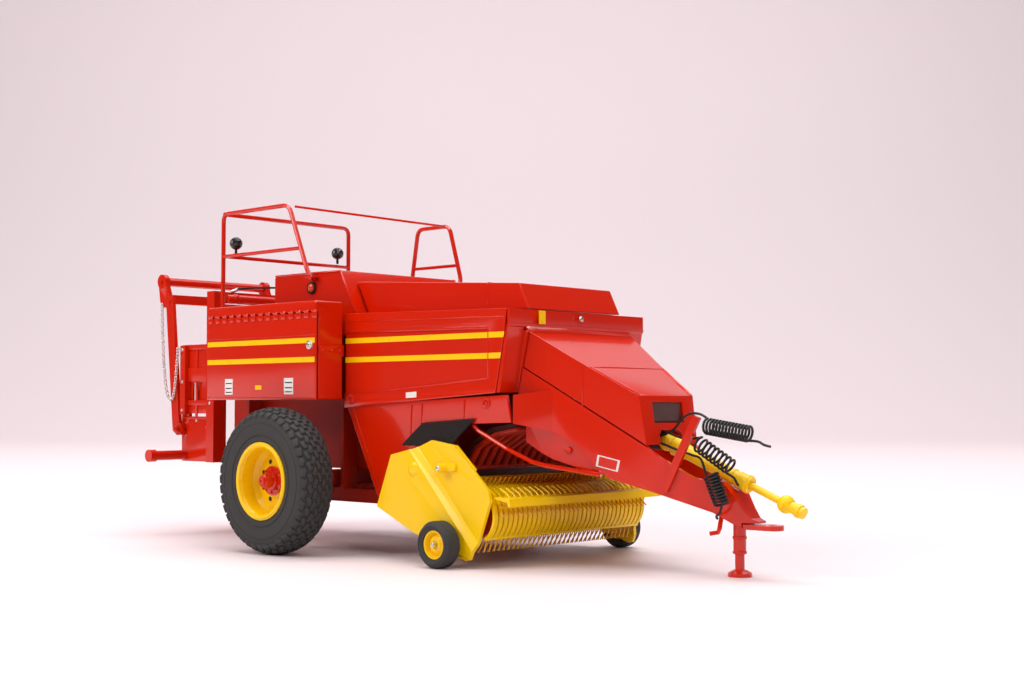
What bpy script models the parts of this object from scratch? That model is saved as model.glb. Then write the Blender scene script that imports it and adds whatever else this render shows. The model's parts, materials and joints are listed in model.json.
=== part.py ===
"""Scale model of a towed big square baler, 1:32, as an assembly of separate pieces.

Axes: +X runs forward to the hitch, +Y to the machine's left, +Z up, and the floor is z = 0.
Every station along X is first given from the main axle. One empty, baler_datum, then shifts
the whole model so that the middle of its length lies at x = 0.
"""

import math

import bmesh
import bpy
from mathutils import Matrix, Vector

MM = 0.001

# Overall layout, in millimetres
DATUM_X = -24.6  # the main axle, from the middle of the model's length
GAP = 0.3  # between pieces that rest on each other
SHEET = 0.9  # the wall of a pressed panel
BODY_HALF = 26.5  # centre plane to the outside of the side panels

# Main wheels
WHEEL_R = 19.44
TYRE_WIDE = 10.4
RIM_R = 9.7
RIM_FLANGE_R = 10.3
TRACK_HALF = 41.55
HUB_R = 3.9
AXLE_HALF_THICK = 2.25

# Bale chamber and chassis
CHAMBER_HALF = 18.7
CHAMBER_LOW = WHEEL_R + AXLE_HALF_THICK + 0.31  # just over the axle beam
CHAMBER_HIGH = 58.2
CHAMBER_REAR = -49.0
CHAMBER_FRONT = 46.0
CHAMBER_WALL = 1.0
RAIL_IN = 21.0
RAIL_OUT = 24.0
RAIL_LOW = 13.4
RAIL_HIGH = 16.9
RAIL_REAR = -36.8
RAIL_FRONT = 42.0
STAY_REAR = -35.4
STAY_FRONT = 6.6

# Rear frame, folding chute
REAR_END = -76.2
YOKE_REAR = -58.5
YOKE_FRONT = -54.6
YOKE_HALF = 22.3
YOKE_HIGH = 74.0
CHUTE_PIN_X = -75.9
CHUTE_PIN_Z = 32.0
CHUTE_FOOT_X = -77.2
CHUTE_TOP_X = -81.6
CHUTE_TOP_Z = 73.2
ROLLER_X = -85.2
ROLLER_Z = 78.6
ROLLER_R = 1.4
ARM_IN = 19.1
ARM_THICK = 1.2
ARM_WIDE = 3.6
PIN_R = 0.9
PIN_PLAY = 0.08

# Twine boxes
BOX_REAR = -38.2
BOX_FRONT = 10.2
BOX_LOW = 2 * WHEEL_R + 2.02  # just over the wheels
BOX_HIGH = 67.3
BOX_IN = 26.9
BOX_OUT = 36.5
DOOR_THICK = 0.8
DOOR_TOP = 64.2

# Upper covers
KNOTTER_HALF = 22.2
KNOTTER_HIGH = 76.9
KNOTTER_REAR = -25.6
HOOD_HALF = 18.0
COWL_FRONT = 70.8
COWL_HIGH = 63.2
COWL_CREASE = 58.8
SHELF_IN = 16.5

# Front: the drawbar's sides and the hood over the gearbox share one tapered plan
NOSE_REAR = 70.6
NOSE_REAR_HALF = 20.8
NOSE_TAPER = 0.3556  # how much each side closes in, for each millimetre forward
DRAWBAR_TIP = 125.2
DRAWBAR_WALL = 1.1
HITCH_X = 127.9  # the middle of the hitch hole
HITCH_EYE_R = 2.6
HITCH_HOLE_R = 1.0
HITCH_Z = 12.3
HITCH_THICK = 1.2
HITCH_REAR = 121.6
JACK_X = 119.0
JACK_TUBE_R = 1.5
JACK_TUBE_LOW = 5.2
JACK_LEG_R = 1.1
JACK_LEG_TOP = 10.6
JACK_TRAVEL = 3.5
JACK_FOOT_R = 2.8

# Drive shaft
SHAFT_X = 98.6
SHAFT_Z = 30.7
SHAFT_MOUNT_X = 91.8
SHAFT_SLOPE = 0.41  # fall for each millimetre forward

# Pickup
PICKUP_PIVOT_X = 41.4
PICKUP_PIVOT_Z = 24.2
PICKUP_INNER = 29.9
PICKUP_STEP = 1.3
PICKUP_PLATE = 1.0
REEL_X = 61.6
REEL_Z = 12.6
REEL_R = 6.5  # the inside of the strippers
STRIPPER_THICK = 0.7
GAUGE_X = 55.9
GAUGE_R = 5.75
GAUGE_WIDE = 4.9
GAUGE_HALF = 35.5

# Guard rails
RAIL_HALF = 24.5
RAIL_R = 0.65
RAIL_TOP = 96.4
RAIL_MID = 83.7
GUARD_REAR = -47.3

# Hoses
HOSE_R = 0.3

RED = (0.60, 0.02, 0.008)
DARK_RED = (0.22, 0.008, 0.006)
YELLOW = (0.93, 0.55, 0.0)
BLACK = (0.02, 0.02, 0.022)
GREY = (0.12, 0.12, 0.13)

RIGHT = -1
LEFT = 1
SIDES = ((RIGHT, "right"), (LEFT, "left"))


def clear_scene():
    for old in list(bpy.data.objects):
        bpy.data.objects.remove(old, do_unlink=True)


def new_collection(name):
    made = bpy.data.collections.new(name)
    bpy.context.scene.collection.children.link(made)
    return made


clear_scene()
PARTS = new_collection("square_baler_model")
CUTTERS = new_collection("cutters")
CUTTERS.hide_render = True
DATUM = bpy.data.objects.new("baler_datum", None)
PARTS.objects.link(DATUM)
DATUM.location = (DATUM_X * MM, 0, 0)
MATERIALS = {}


def material(name, colour, roughness, metallic):
    """One Principled material for each sub-part."""
    made = bpy.data.materials.new(name)
    made.use_nodes = True
    shader = made.node_tree.nodes["Principled BSDF"]
    shader.inputs["Base Color"].default_value = (*colour, 1)
    shader.inputs["Roughness"].default_value = roughness
    shader.inputs["Metallic"].default_value = metallic
    return made


# Building shapes. Each helper takes millimetres and returns a bmesh-made mesh object
# whose points are measured from the datum.


def from_bmesh(shape, name="shape"):
    mesh = bpy.data.meshes.new(name)
    bmesh.ops.recalc_face_normals(shape, faces=shape.faces)
    shape.to_mesh(mesh)
    shape.free()
    made = bpy.data.objects.new(name, mesh)
    CUTTERS.objects.link(made)
    made.hide_render = True
    made.display_type = "WIRE"
    return made


def block(x, y, z):
    """A box between pairs of limits."""
    limits = [sorted(pair) for pair in (x, y, z)]
    size = [(high - low) * MM for low, high in limits]
    middle = [(high + low) / 2 * MM for low, high in limits]
    shape = bmesh.new()
    bmesh.ops.create_cube(shape, size=1)
    bmesh.ops.scale(shape, vec=size, verts=shape.verts)
    bmesh.ops.translate(shape, vec=middle, verts=shape.verts)
    return from_bmesh(shape)


def turn_to(axis):
    """The matrix that turns +Z to the axis."""
    return Vector((0, 0, 1)).rotation_difference(Vector(axis).normalized()).to_matrix().to_4x4()


def cylinder(start, end, radius, end_radius=None, sides=32):
    """A solid round bar, or a cone, from one point to another."""
    start = Vector(start)
    end = Vector(end)
    along = end - start
    shape = bmesh.new()
    bmesh.ops.create_cone(
        shape,
        cap_ends=True,
        segments=sides,
        radius1=radius * MM,
        radius2=(radius if end_radius is None else end_radius) * MM,
        depth=along.length * MM,
        matrix=Matrix.Translation((start + end) / 2 * MM) @ turn_to(along),
    )
    return from_bmesh(shape)


def ball(centre, radius, rings=8):
    shape = bmesh.new()
    bmesh.ops.create_uvsphere(
        shape,
        u_segments=2 * rings,
        v_segments=rings,
        radius=radius * MM,
        matrix=Matrix.Translation(Vector(centre) * MM),
    )
    return from_bmesh(shape)


def evaluated_mesh(made, weld=1e-7):
    """The object with its modifiers or its curve turned into plain mesh."""
    bpy.context.view_layer.update()
    graph = bpy.context.evaluated_depsgraph_get()
    mesh = bpy.data.meshes.new_from_object(made.evaluated_get(graph))
    shape = bmesh.new()
    shape.from_mesh(mesh)
    shape.transform(made.matrix_world)
    bmesh.ops.remove_doubles(shape, verts=shape.verts, dist=weld)
    bpy.data.meshes.remove(mesh)
    bpy.data.objects.remove(made, do_unlink=True)
    return from_bmesh(shape)


def curve_object(kind):
    curve = bpy.data.curves.new("outline", "CURVE")
    curve.dimensions = kind
    made = bpy.data.objects.new("outline", curve)
    CUTTERS.objects.link(made)
    return made


PLANES = {
    # the outline's first and second coordinate, then the direction it is extruded in
    "XZ": Matrix(((1, 0, 0, 0), (0, 0, -1, 0), (0, 1, 0, 0), (0, 0, 0, 1))),
    "XY": Matrix.Identity(4),
    "YZ": Matrix(((0, 0, 1, 0), (1, 0, 0, 0), (0, 1, 0, 0), (0, 0, 0, 1))),
}


def prism(plane, points, limits):
    """A flat outline in the plane, extruded between two limits along the third axis."""
    low, high = sorted(limits)
    made = curve_object("2D")
    curve = made.data
    curve.fill_mode = "BOTH"
    curve.extrude = (high - low) / 2 * MM
    spline = curve.splines.new("POLY")
    spline.points.add(len(points) - 1)
    for point, (first, second) in zip(spline.points, points):
        point.co = (first * MM, second * MM, 0, 1)
    spline.use_cyclic_u = True
    middle = (high + low) / 2 * MM
    third = {"XZ": (0, middle, 0), "XY": (0, 0, middle), "YZ": (middle, 0, 0)}[plane]
    made.matrix_world = Matrix.Translation(third) @ PLANES[plane]
    return evaluated_mesh(made)


def tube(points, radius, round_steps=2):
    """A round tube through the points, with filled ends."""
    made = curve_object("3D")
    curve = made.data
    curve.bevel_depth = radius * MM
    curve.bevel_resolution = round_steps
    curve.use_fill_caps = True
    spline = curve.splines.new("POLY")
    spline.points.add(len(points) - 1)
    for point, place in zip(spline.points, points):
        point.co = (*(value * MM for value in place), 1)
    return evaluated_mesh(made)


def turned(profile, centre, axis=(0, 1, 0), steps=40, closed=True):
    """A ring turned about an axis through the centre: the profile is (radius, offset) pairs."""
    mesh = bpy.data.meshes.new("profile")
    count = len(profile)
    edges = [(i, (i + 1) % count) for i in range(count if closed else count - 1)]
    mesh.from_pydata([(r * MM, 0, offset * MM) for r, offset in profile], edges, [])
    made = bpy.data.objects.new("profile", mesh)
    CUTTERS.objects.link(made)
    screw = made.modifiers.new("turn", "SCREW")
    screw.steps = steps
    screw.render_steps = steps
    screw.use_merge_vertices = True
    screw.merge_threshold = 1e-6
    made.matrix_world = Matrix.Translation(Vector(centre) * MM) @ turn_to(axis)
    return evaluated_mesh(made)


def combined(base, others, operation):
    """base with the other shapes joined to it, cut from it or kept in common with it."""
    for other in others:
        boolean = base.modifiers.new("combine", "BOOLEAN")
        boolean.operation = operation
        boolean.object = other
        boolean.solver = "EXACT"
    made = evaluated_mesh(base)
    for other in others:
        bpy.data.objects.remove(other, do_unlink=True)
    return made


def joined(base, *others):
    return combined(base, others, "UNION")


def cut(base, *others):
    return combined(base, others, "DIFFERENCE")


def common(base, *others):
    return combined(base, others, "INTERSECT")


def softened(made, width):
    """Rounds the sharp edges by a small Bevel."""
    bevel = made.modifiers.new("soft edges", "BEVEL")
    bevel.width = width * MM
    bevel.segments = 1
    bevel.limit_method = "ANGLE"
    bevel.angle_limit = math.radians(50)
    return evaluated_mesh(made)


def part(name, made, colour, roughness=0.3, metallic=0.0, pivot=(0, 0, 0)):
    """Names a finished shape, gives it its own material and its origin on its joint's axis."""
    made.name = name
    made.data.name = name
    shift = Vector(pivot) * MM
    made.data.transform(Matrix.Translation(-shift))
    made.location = shift
    made.parent = DATUM
    CUTTERS.objects.unlink(made)
    PARTS.objects.link(made)
    made.hide_render = False
    made.display_type = "TEXTURED"
    made.data.materials.clear()
    made.data.materials.append(material(name, colour, roughness, metallic))
    made.data.shade_smooth()
    made.data.set_sharp_from_angle(angle=math.radians(35))
    return made


def arc(centre, radius, start, end, steps):
    """Points on a circle, by angle in degrees."""
    for i in range(steps + 1):
        angle = math.radians(start + (end - start) * i / steps)
        yield (centre[0] + radius * math.cos(angle), centre[1] + radius * math.sin(angle))


def nose_half(x):
    """Half the width of the drawbar and the gearbox hood at a station."""
    return NOSE_REAR_HALF - NOSE_TAPER * (x - NOSE_REAR)


def both(points):
    """An outline's left half, closed by its mirror image across the centre plane."""
    return list(points) + [(x, -y) for x, y in reversed(points)]


# Chassis


def build_chassis():
    rails = []
    uprights = []
    across = (-RAIL_IN - 1, RAIL_IN + 1)
    members = [
        block((x - 1.2, x + 1.2), across, (RAIL_LOW, RAIL_HIGH - 0.2))
        for x in (STAY_REAR, STAY_FRONT, RAIL_FRONT - 2)
    ]
    for side, _ in SIDES:
        rails.append(block((RAIL_REAR, RAIL_FRONT), (side * RAIL_IN, side * RAIL_OUT), (RAIL_LOW, RAIL_HIGH)))
        for x in (STAY_REAR, STAY_FRONT):
            outline = (
                (CHAMBER_HALF + GAP, RAIL_LOW + 1),
                (RAIL_OUT, RAIL_LOW + 1),
                (RAIL_OUT, BOX_LOW),
                (BOX_IN - GAP, BOX_LOW + 3),
                (BOX_IN - GAP, CHAMBER_HIGH - 2),
                (CHAMBER_HALF + GAP, CHAMBER_HIGH - 2),
            )
            uprights.append(prism("YZ", [(side * y, z) for y, z in outline], (x - 0.6, x + 0.6)))
    part("chassis_frame", joined(rails[0], rails[1], *members, *uprights), RED)


def build_axle():
    square = (-AXLE_HALF_THICK, AXLE_HALF_THICK)
    beam = block(square, (-31, 31), [WHEEL_R + z for z in square])
    ends = []
    for side, _ in SIDES:
        ends.append(cylinder((0, side * 30.5, WHEEL_R), (0, side * 33.2, WHEEL_R), 3.4))
        ends.append(cylinder((0, side * 33, WHEEL_R), (0, side * (wheel_inner_face() - GAP), WHEEL_R), 2.0))
    part("axle_beam", joined(softened(beam, 0.4), *ends), RED, 0.35)


# Main wheels


def wheel_inner_face():
    return TRACK_HALF - TYRE_WIDE / 2 + 0.4


def tyre_profile(radius, bead, half, shoulder):
    """A tyre's section: bead, sidewall, shoulder and crown on each side."""
    side = [
        (bead, half * 0.80),
        (bead + 0.9, half * 0.93),
        ((bead + radius) / 2, half),
        (radius - 1.9 * shoulder, half * 0.95),
        (radius - 0.75 * shoulder, half * 0.80),
        (radius - 0.15 * shoulder, half * 0.52),
        (radius, half * 0.22),
    ]
    return side + [(r, -offset) for r, offset in reversed(side)]


def build_wheel(side, name):
    centre = (0, side * TRACK_HALF, WHEEL_R)
    half = TYRE_WIDE / 2
    out = side  # offsets grow away from the centre plane
    tyre = turned(tyre_profile(WHEEL_R, RIM_R + GAP, half, 1.0), centre)
    part("main_tyre_" + name, tyre, BLACK, 0.75, pivot=centre)
    rim = [
        (2.2, 0.5),
        (2.2, -0.4),
        (7.6, -1.6),
        (9.0, -3.6),
        (9.3, -5.0),
        (RIM_FLANGE_R, -5.1),
        (RIM_FLANGE_R, -4.7),
        (RIM_R, -4.3),
        (RIM_R, 4.3),
        (RIM_FLANGE_R, 4.7),
        (RIM_FLANGE_R, 5.1),
        (9.4, 5.0),
        (8.9, 4.2),
        (8.6, 0.9),
        (7.4, -0.4),
    ]
    rim = turned([(r, out * offset) for r, offset in rim], centre, steps=36)
    part("main_rim_" + name, rim, YELLOW, 0.25, pivot=centre)
    hub = [
        (0, 4.3),
        (1.5, 4.3),
        (1.8, 3.9),
        (1.9, 2.0),
        (2.6, 1.8),
        (2.7, 1.2),
        (HUB_R, 1.1),
        (HUB_R, 0.5 + GAP / 2),
        (2.0, 0.5 + GAP / 2),
        (2.0, -(TRACK_HALF - wheel_inner_face())),
        (0, -(TRACK_HALF - wheel_inner_face())),
    ]
    hub = turned([(r, out * offset) for r, offset in hub], centre, steps=24, closed=False)
    part("main_hub_" + name, hub, RED, 0.3, pivot=centre)


# Bale chamber and rear frame


def build_chamber():
    outer = block((CHAMBER_REAR, CHAMBER_FRONT), (-CHAMBER_HALF, CHAMBER_HALF), (CHAMBER_LOW, CHAMBER_HIGH))
    inside = CHAMBER_HALF - CHAMBER_WALL
    hollow = block(
        (CHAMBER_REAR - 1, CHAMBER_FRONT - CHAMBER_WALL),
        (-inside, inside),
        (CHAMBER_LOW + CHAMBER_WALL, CHAMBER_HIGH - CHAMBER_WALL),
    )
    part("bale_chamber", cut(outer, hollow), RED)


def build_rear_frame():
    shell = block((REAR_END, YOKE_FRONT), (-CHAMBER_HALF, CHAMBER_HALF), (CHAMBER_LOW, CHAMBER_HIGH))
    inside = CHAMBER_HALF - CHAMBER_WALL
    hollow = block(
        (REAR_END - 1, YOKE_FRONT + 1),
        (-inside, inside),
        (CHAMBER_LOW + CHAMBER_WALL, CHAMBER_HIGH - CHAMBER_WALL),
    )
    window = (REAR_END + 3.9, YOKE_REAR - 0.2)
    through = (-CHAMBER_HALF - 1, CHAMBER_HALF + 1)
    slots = [
        block(window, through, (35.2, 36.8)),
        block((REAR_END + 5.2, REAR_END + 6.8), through, (40.6, 46.4)),
    ]
    pin_end = ARM_IN + ARM_THICK + 0.9
    extras = []
    for side, _ in SIDES:
        wall = side * (CHAMBER_HALF - 0.3)
        slots.append(block(window, (side * (CHAMBER_HALF - 0.5), side * (CHAMBER_HALF + 1)), (40.5, 46.5)))
        post = (REAR_END + 0.9, REAR_END + 3.5)
        extras.append(block(post, (wall, side * 20.2), (36.5, CHAMBER_HIGH - 0.2)))
        extras.append(
            block((YOKE_REAR, YOKE_FRONT - 0.1), (wall, side * YOKE_HALF), (CHAMBER_LOW + 0.1, YOKE_HIGH))
        )
        pin = [(CHUTE_PIN_X, y, CHUTE_PIN_Z) for y in (wall, side * pin_end)]
        extras.append(cylinder(*pin, PIN_R, sides=16))
        bar = [(REAR_END + 1.6, y, CHAMBER_LOW + 1.9) for y in (wall, side * 29.6, side * 31.9)]
        extras.append(cylinder(bar[0], bar[2], 1.5, sides=16))
        extras.append(cylinder(bar[1], bar[2], 1.9, sides=16))
        # a tongue that rests on the chamber and carries the frame
        low = CHAMBER_HIGH + GAP
        extras.append(block((YOKE_FRONT - 2.1, CHAMBER_REAR + 5), (side * 8, side * 14), (low, low + 1.2)))
        extras.append(block((YOKE_FRONT - 2, YOKE_FRONT - 0.5), (side * 8.2, side * 13.8), (CHAMBER_HIGH - 0.5, low + 1)))
    beam = (YOKE_REAR + 0.2, YOKE_FRONT - 0.3)
    extras.append(block(beam, (-YOKE_HALF + 0.5, YOKE_HALF - 0.5), (YOKE_HIGH - 3.6, YOKE_HIGH - 0.1)))
    part("rear_frame", joined(cut(shell, hollow, *slots), *extras), RED)


def build_chute():
    pivot = (CHUTE_PIN_X, 0, CHUTE_PIN_Z)
    lean = Vector((CHUTE_TOP_X - CHUTE_FOOT_X, CHUTE_TOP_Z - CHUTE_PIN_Z)).normalized()
    across = Vector((lean.y, -lean.x)) * (ARM_WIDE / 2)
    arm = [
        Vector((CHUTE_FOOT_X, CHUTE_PIN_Z)) + across,
        Vector((CHUTE_TOP_X, CHUTE_TOP_Z)) + across,
        Vector((CHUTE_TOP_X, CHUTE_TOP_Z)) - across,
        Vector((CHUTE_FOOT_X, CHUTE_PIN_Z)) - across,
    ]
    pieces = []
    for side, _ in SIDES:
        inner = side * ARM_IN
        outer = side * (ARM_IN + ARM_THICK)
        pieces.append(prism("XZ", [tuple(p) for p in arm], (inner, outer)))
        lug = cylinder(
            (CHUTE_PIN_X, inner - side * 0.1, CHUTE_PIN_Z),
            (CHUTE_PIN_X, outer + side * 0.15, CHUTE_PIN_Z),
            2.0,
            sides=20,
        )
        pieces.append(lug)
        plate = [(-87.2, 78.6), (-83.2, 78.8), (-80.6, 72.4), (-81.4, 70.8), (-83.6, 70.2), (-86.0, 72.0)]
        pieces.append(prism("XZ", plate, (inner + side * 0.1, outer + side * 0.3)))
        ends = [(ROLLER_X, y, ROLLER_Z) for y in (inner - side * 0.1, outer + side * 0.4)]
        boss = cylinder(*ends, 2.3, sides=20)
        pieces.append(boss)
    pieces.append(block((-83.0, -80.2), (-ARM_IN - 0.4, ARM_IN + 0.4), (71.3, 74.2)))
    chute = joined(pieces[0], *pieces[1:])
    holes = [
        cylinder((CHUTE_PIN_X, -30, CHUTE_PIN_Z), (CHUTE_PIN_X, 30, CHUTE_PIN_Z), PIN_R + PIN_PLAY, sides=16),
        cylinder((ROLLER_X, -30, ROLLER_Z), (ROLLER_X, 30, ROLLER_Z), 0.7 + PIN_PLAY, sides=16),
    ]
    part("bale_chute", cut(chute, *holes), RED, pivot=pivot)
    roller = cylinder((ROLLER_X, -ARM_IN + GAP, ROLLER_Z), (ROLLER_X, ARM_IN - GAP, ROLLER_Z), ROLLER_R, sides=16)
    reach = ARM_IN + ARM_THICK + 0.9
    pins = cylinder((ROLLER_X, -reach, ROLLER_Z), (ROLLER_X, reach, ROLLER_Z), 0.7, sides=16)
    part("chute_roller", joined(roller, pins), RED, pivot=(ROLLER_X, 0, ROLLER_Z))


# Twine boxes and their doors


def build_twine_box(side, name):
    shell = softened(block((BOX_REAR, BOX_FRONT), (side * BOX_IN, side * BOX_OUT), (BOX_LOW, BOX_HIGH)), 0.35)
    outside = side * (BOX_OUT + 1)
    pocket = block(
        (BOX_REAR - 1, BOX_FRONT + 1),
        (side * (BOX_OUT - DOOR_THICK - GAP), outside),
        (BOX_LOW - 1, DOOR_TOP + GAP),
    )
    inside = block(
        (BOX_REAR + 2 * SHEET, BOX_FRONT - 2 * SHEET),
        (side * (BOX_IN + SHEET), outside),
        (BOX_LOW + 2 * SHEET, DOOR_TOP - 1.0),
    )
    part("twine_box_" + name, cut(shell, pocket, inside), RED, 0.22)
    face = (side * (BOX_OUT - DOOR_THICK), side * BOX_OUT)
    door = softened(block((BOX_REAR, BOX_FRONT), face, (BOX_LOW, DOOR_TOP)), 0.25)
    latch = cylinder((8.0, side * (BOX_OUT - 0.2), 55.5), (8.0, side * (BOX_OUT + 0.5), 55.5), 0.9, sides=20)
    part("twine_box_door_" + name, joined(door, latch), RED, 0.22, pivot=(0, side * BOX_OUT, DOOR_TOP))


# Upper covers, side panels and front


def shelf_top(x):
    """The height of the side panels' top, which falls towards the front."""
    return 64.2 - 1.2 * (x - 10.4) / 59.9


def build_knotter_cover():
    front_low = 9.8
    outline = [
        (KNOTTER_REAR, CHAMBER_HIGH + GAP),
        (KNOTTER_REAR, KNOTTER_HIGH - 0.8),
        (KNOTTER_REAR + 0.8, KNOTTER_HIGH),
        (3.4, KNOTTER_HIGH - 0.2),
        (front_low, 64.8),
        (front_low, CHAMBER_HIGH + GAP),
    ]
    outer = prism("XZ", outline, (-KNOTTER_HALF, KNOTTER_HALF))
    inner = [
        (KNOTTER_REAR + SHEET, CHAMBER_HIGH - 1),
        (KNOTTER_REAR + SHEET, KNOTTER_HIGH - SHEET),
        (3.4 - SHEET, KNOTTER_HIGH - SHEET),
        (front_low - SHEET, 64.5),
        (front_low - SHEET, CHAMBER_HIGH - 1),
    ]
    hollow = prism("XZ", inner, (-KNOTTER_HALF + SHEET, KNOTTER_HALF - SHEET))
    part("knotter_cover", cut(outer, hollow), RED, 0.22)


def build_top_hood():
    rear, front = 10.4, 69.7
    outline = [(rear, shelf_top(rear) + GAP), (5.6, 73.6), (66.4, 69.9), (front, shelf_top(front) + GAP)]
    outer = prism("XZ", outline, (-HOOD_HALF, HOOD_HALF))
    inner = [
        (rear + 1.2, shelf_top(rear) - 1),
        (7.0, 73.6 - SHEET),
        (66.0, 69.9 - SHEET),
        (front - 1.1, shelf_top(front) - 1),
    ]
    hollow = prism("XZ", inner, (-HOOD_HALF + SHEET, HOOD_HALF - SHEET))
    part("top_hood", cut(outer, hollow), RED, 0.22)


def build_side_panel(side, name):
    rear = BOX_FRONT + GAP
    edge = [
        (rear, 40.6),
        (66.3, 42.9),
        (69.1, 57.0),
        (70.0, shelf_top(70.0)),
        (rear, shelf_top(rear)),
    ]
    outer = prism("XZ", edge, (side * SHELF_IN, side * BODY_HALF))
    under = [
        (rear - 1, 39),
        (72, 39),
        (72, shelf_top(72) - SHEET),
        (rear - 1, shelf_top(rear - 1) - SHEET),
    ]
    hollow = prism("XZ", under, (side * (SHELF_IN - 1), side * (BODY_HALF - SHEET)))
    recess = [(rear - 1, 42.1), (63.9, 45.9), (63.9, 58.5), (rear - 1, 59.2)]
    pressed = prism("XZ", recess, (side * (BODY_HALF - 0.25), side * (BODY_HALF + 1)))
    part("side_panel_" + name, cut(outer, hollow, pressed), RED, 0.22)


def build_lower_panel(side, name):
    outline = [(10.7, 39.6), (69.5, 42.0), (70.9, 35.3), (40.4, 34.4), (37.2, 16.0), (23.1, 15.6)]
    panel = prism("XZ", outline, (side * (BODY_HALF - 1.5), side * (BODY_HALF - 0.6)))
    flange = block((12.0, 38.5), (side * (CHAMBER_HALF + GAP), side * (BODY_HALF - 1.0)), (37.6, 38.5))
    part("lower_panel_" + name, joined(panel, flange), RED, 0.25)


def seam_x(z):
    """Where the gearbox hood and the drawbar begin, just ahead of the cowl's wings."""
    return 69.2 + 0.186 * (z - 42.6)


def build_cowl():
    visor = [
        (63.0, COWL_HIGH),
        (COWL_FRONT, COWL_HIGH - 0.2),
        (COWL_FRONT, COWL_CREASE),
        (69.6, 57.6),
        (63.0, 57.6),
    ]
    edge = 70.0 + GAP
    outer = prism("XZ", visor, (-BODY_HALF, BODY_HALF))
    sides = [block((62, edge), (side * (BODY_HALF + 1), side * (SHELF_IN - 1)), (56, 65)) for side, _ in SIDES]
    visor = cut(outer, *sides)
    brow = block((edge, COWL_FRONT), (-BODY_HALF + 0.1, BODY_HALF - 0.1), (COWL_CREASE, COWL_HIGH - 0.3))
    wings = []
    for side, _ in SIDES:
        strip = [(66.6, 42.6), (67.6, 42.6), (70.5, 58.2), (COWL_FRONT - 0.1, 60), (70.3, 60), (69.4, 57.0)]
        wings.append(prism("XZ", strip, (side * NOSE_REAR_HALF, side * (BODY_HALF - 0.1))))
        # behind the hood's rear edge the wing is thicker and reaches inwards
        behind = [(67.0, 42.7), (seam_x(42.7) - GAP, 42.7), (seam_x(57.9) - GAP, 57.9), (69.6, 57.9)]
        wings.append(prism("XZ", behind, (side * 18.0, side * (NOSE_REAR_HALF + 0.4))))
    part("front_cowl", joined(visor, brow, *wings), RED, 0.22)


def nose_plan(rear, front, inset):
    """The drawbar's plan between two stations, inside its outer faces by inset."""
    return both([(rear, nose_half(rear) - inset), (front, nose_half(front) - inset)])


SEAM = [(seam_x(48.6), 48.6), (99.6, 29.8)]  # where the hood sits on the drawbar


def build_gearbox_hood():
    (rear, rear_z), (front, front_z) = SEAM
    outline = [
        (seam_x(rear_z + GAP), rear_z + GAP),
        (seam_x(57.4), 57.4),
        (86.4, 48.6),
        (98.2, 41.8),
        (front + 0.3, front_z + GAP),
    ]
    outer = common(prism("XZ", outline, (-25, 25)), prism("XY", nose_plan(60, 105, 0.15), (20, 70)))
    inner = [
        (rear - 5, rear_z - 2),
        (rear - 5, 57.4 - SHEET),
        (seam_x(57.4), 57.4 - SHEET),
        (86.1, 48.6 - 1.2 * SHEET),
        (97.1, 41.8 - 1.2 * SHEET),
        (front - 0.8, front_z - 2),
    ]
    hollow = common(prism("XZ", inner, (-25, 25)), prism("XY", nose_plan(60, 105, 0.15 + SHEET), (20, 70)))
    arch = prism("YZ", [(-4.6, 28), (-4.4, 32.6), (-3.4, 33.6), (3.4, 33.6), (4.4, 32.6), (4.6, 28)], (95, 105))
    window = block((96.0, 105), (-6.0, 6.0), (35.3, 40.2))
    hood = cut(outer, hollow, arch, window)
    part("gearbox_hood", hood, RED, 0.2)
    glass = block((97.35, 97.95), (-6.0 + 0.15, 6.0 - 0.15), (35.3 + 0.15, 40.2 - 0.15))
    part("hood_window", glass, GREY, 0.15)


DRAWBAR_TOP = [
    *SEAM,
    (103.1, 27.2),
    (107.3, 24.7),
    (110.3, 22.9),
    (112.4, 22.3),
    (117.3, 21.8),
    (119.4, 19.0),
    (121.6, 15.7),
    (123.4, 13.6),
    (DRAWBAR_TIP, HITCH_Z + GAP + 0.4),
]
DRAWBAR_LOW = [
    (DRAWBAR_TIP, HITCH_Z + GAP),
    (HITCH_REAR - GAP, HITCH_Z + GAP),
    (HITCH_REAR - GAP, 11.6),
    (119.2, 12.4),
    (115.1, 14.7),
    (108.8, 16.7),
    (101.1, 19.2),
    (91.0, 22.2),
    (88.0, 24.8),
    (85.2, 28.4),
    (82.2, 30.8),
    (77.1, 33.2),
    (NOSE_REAR + 1.2, 34.8),
    (seam_x(42.6), 42.6),
]


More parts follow.
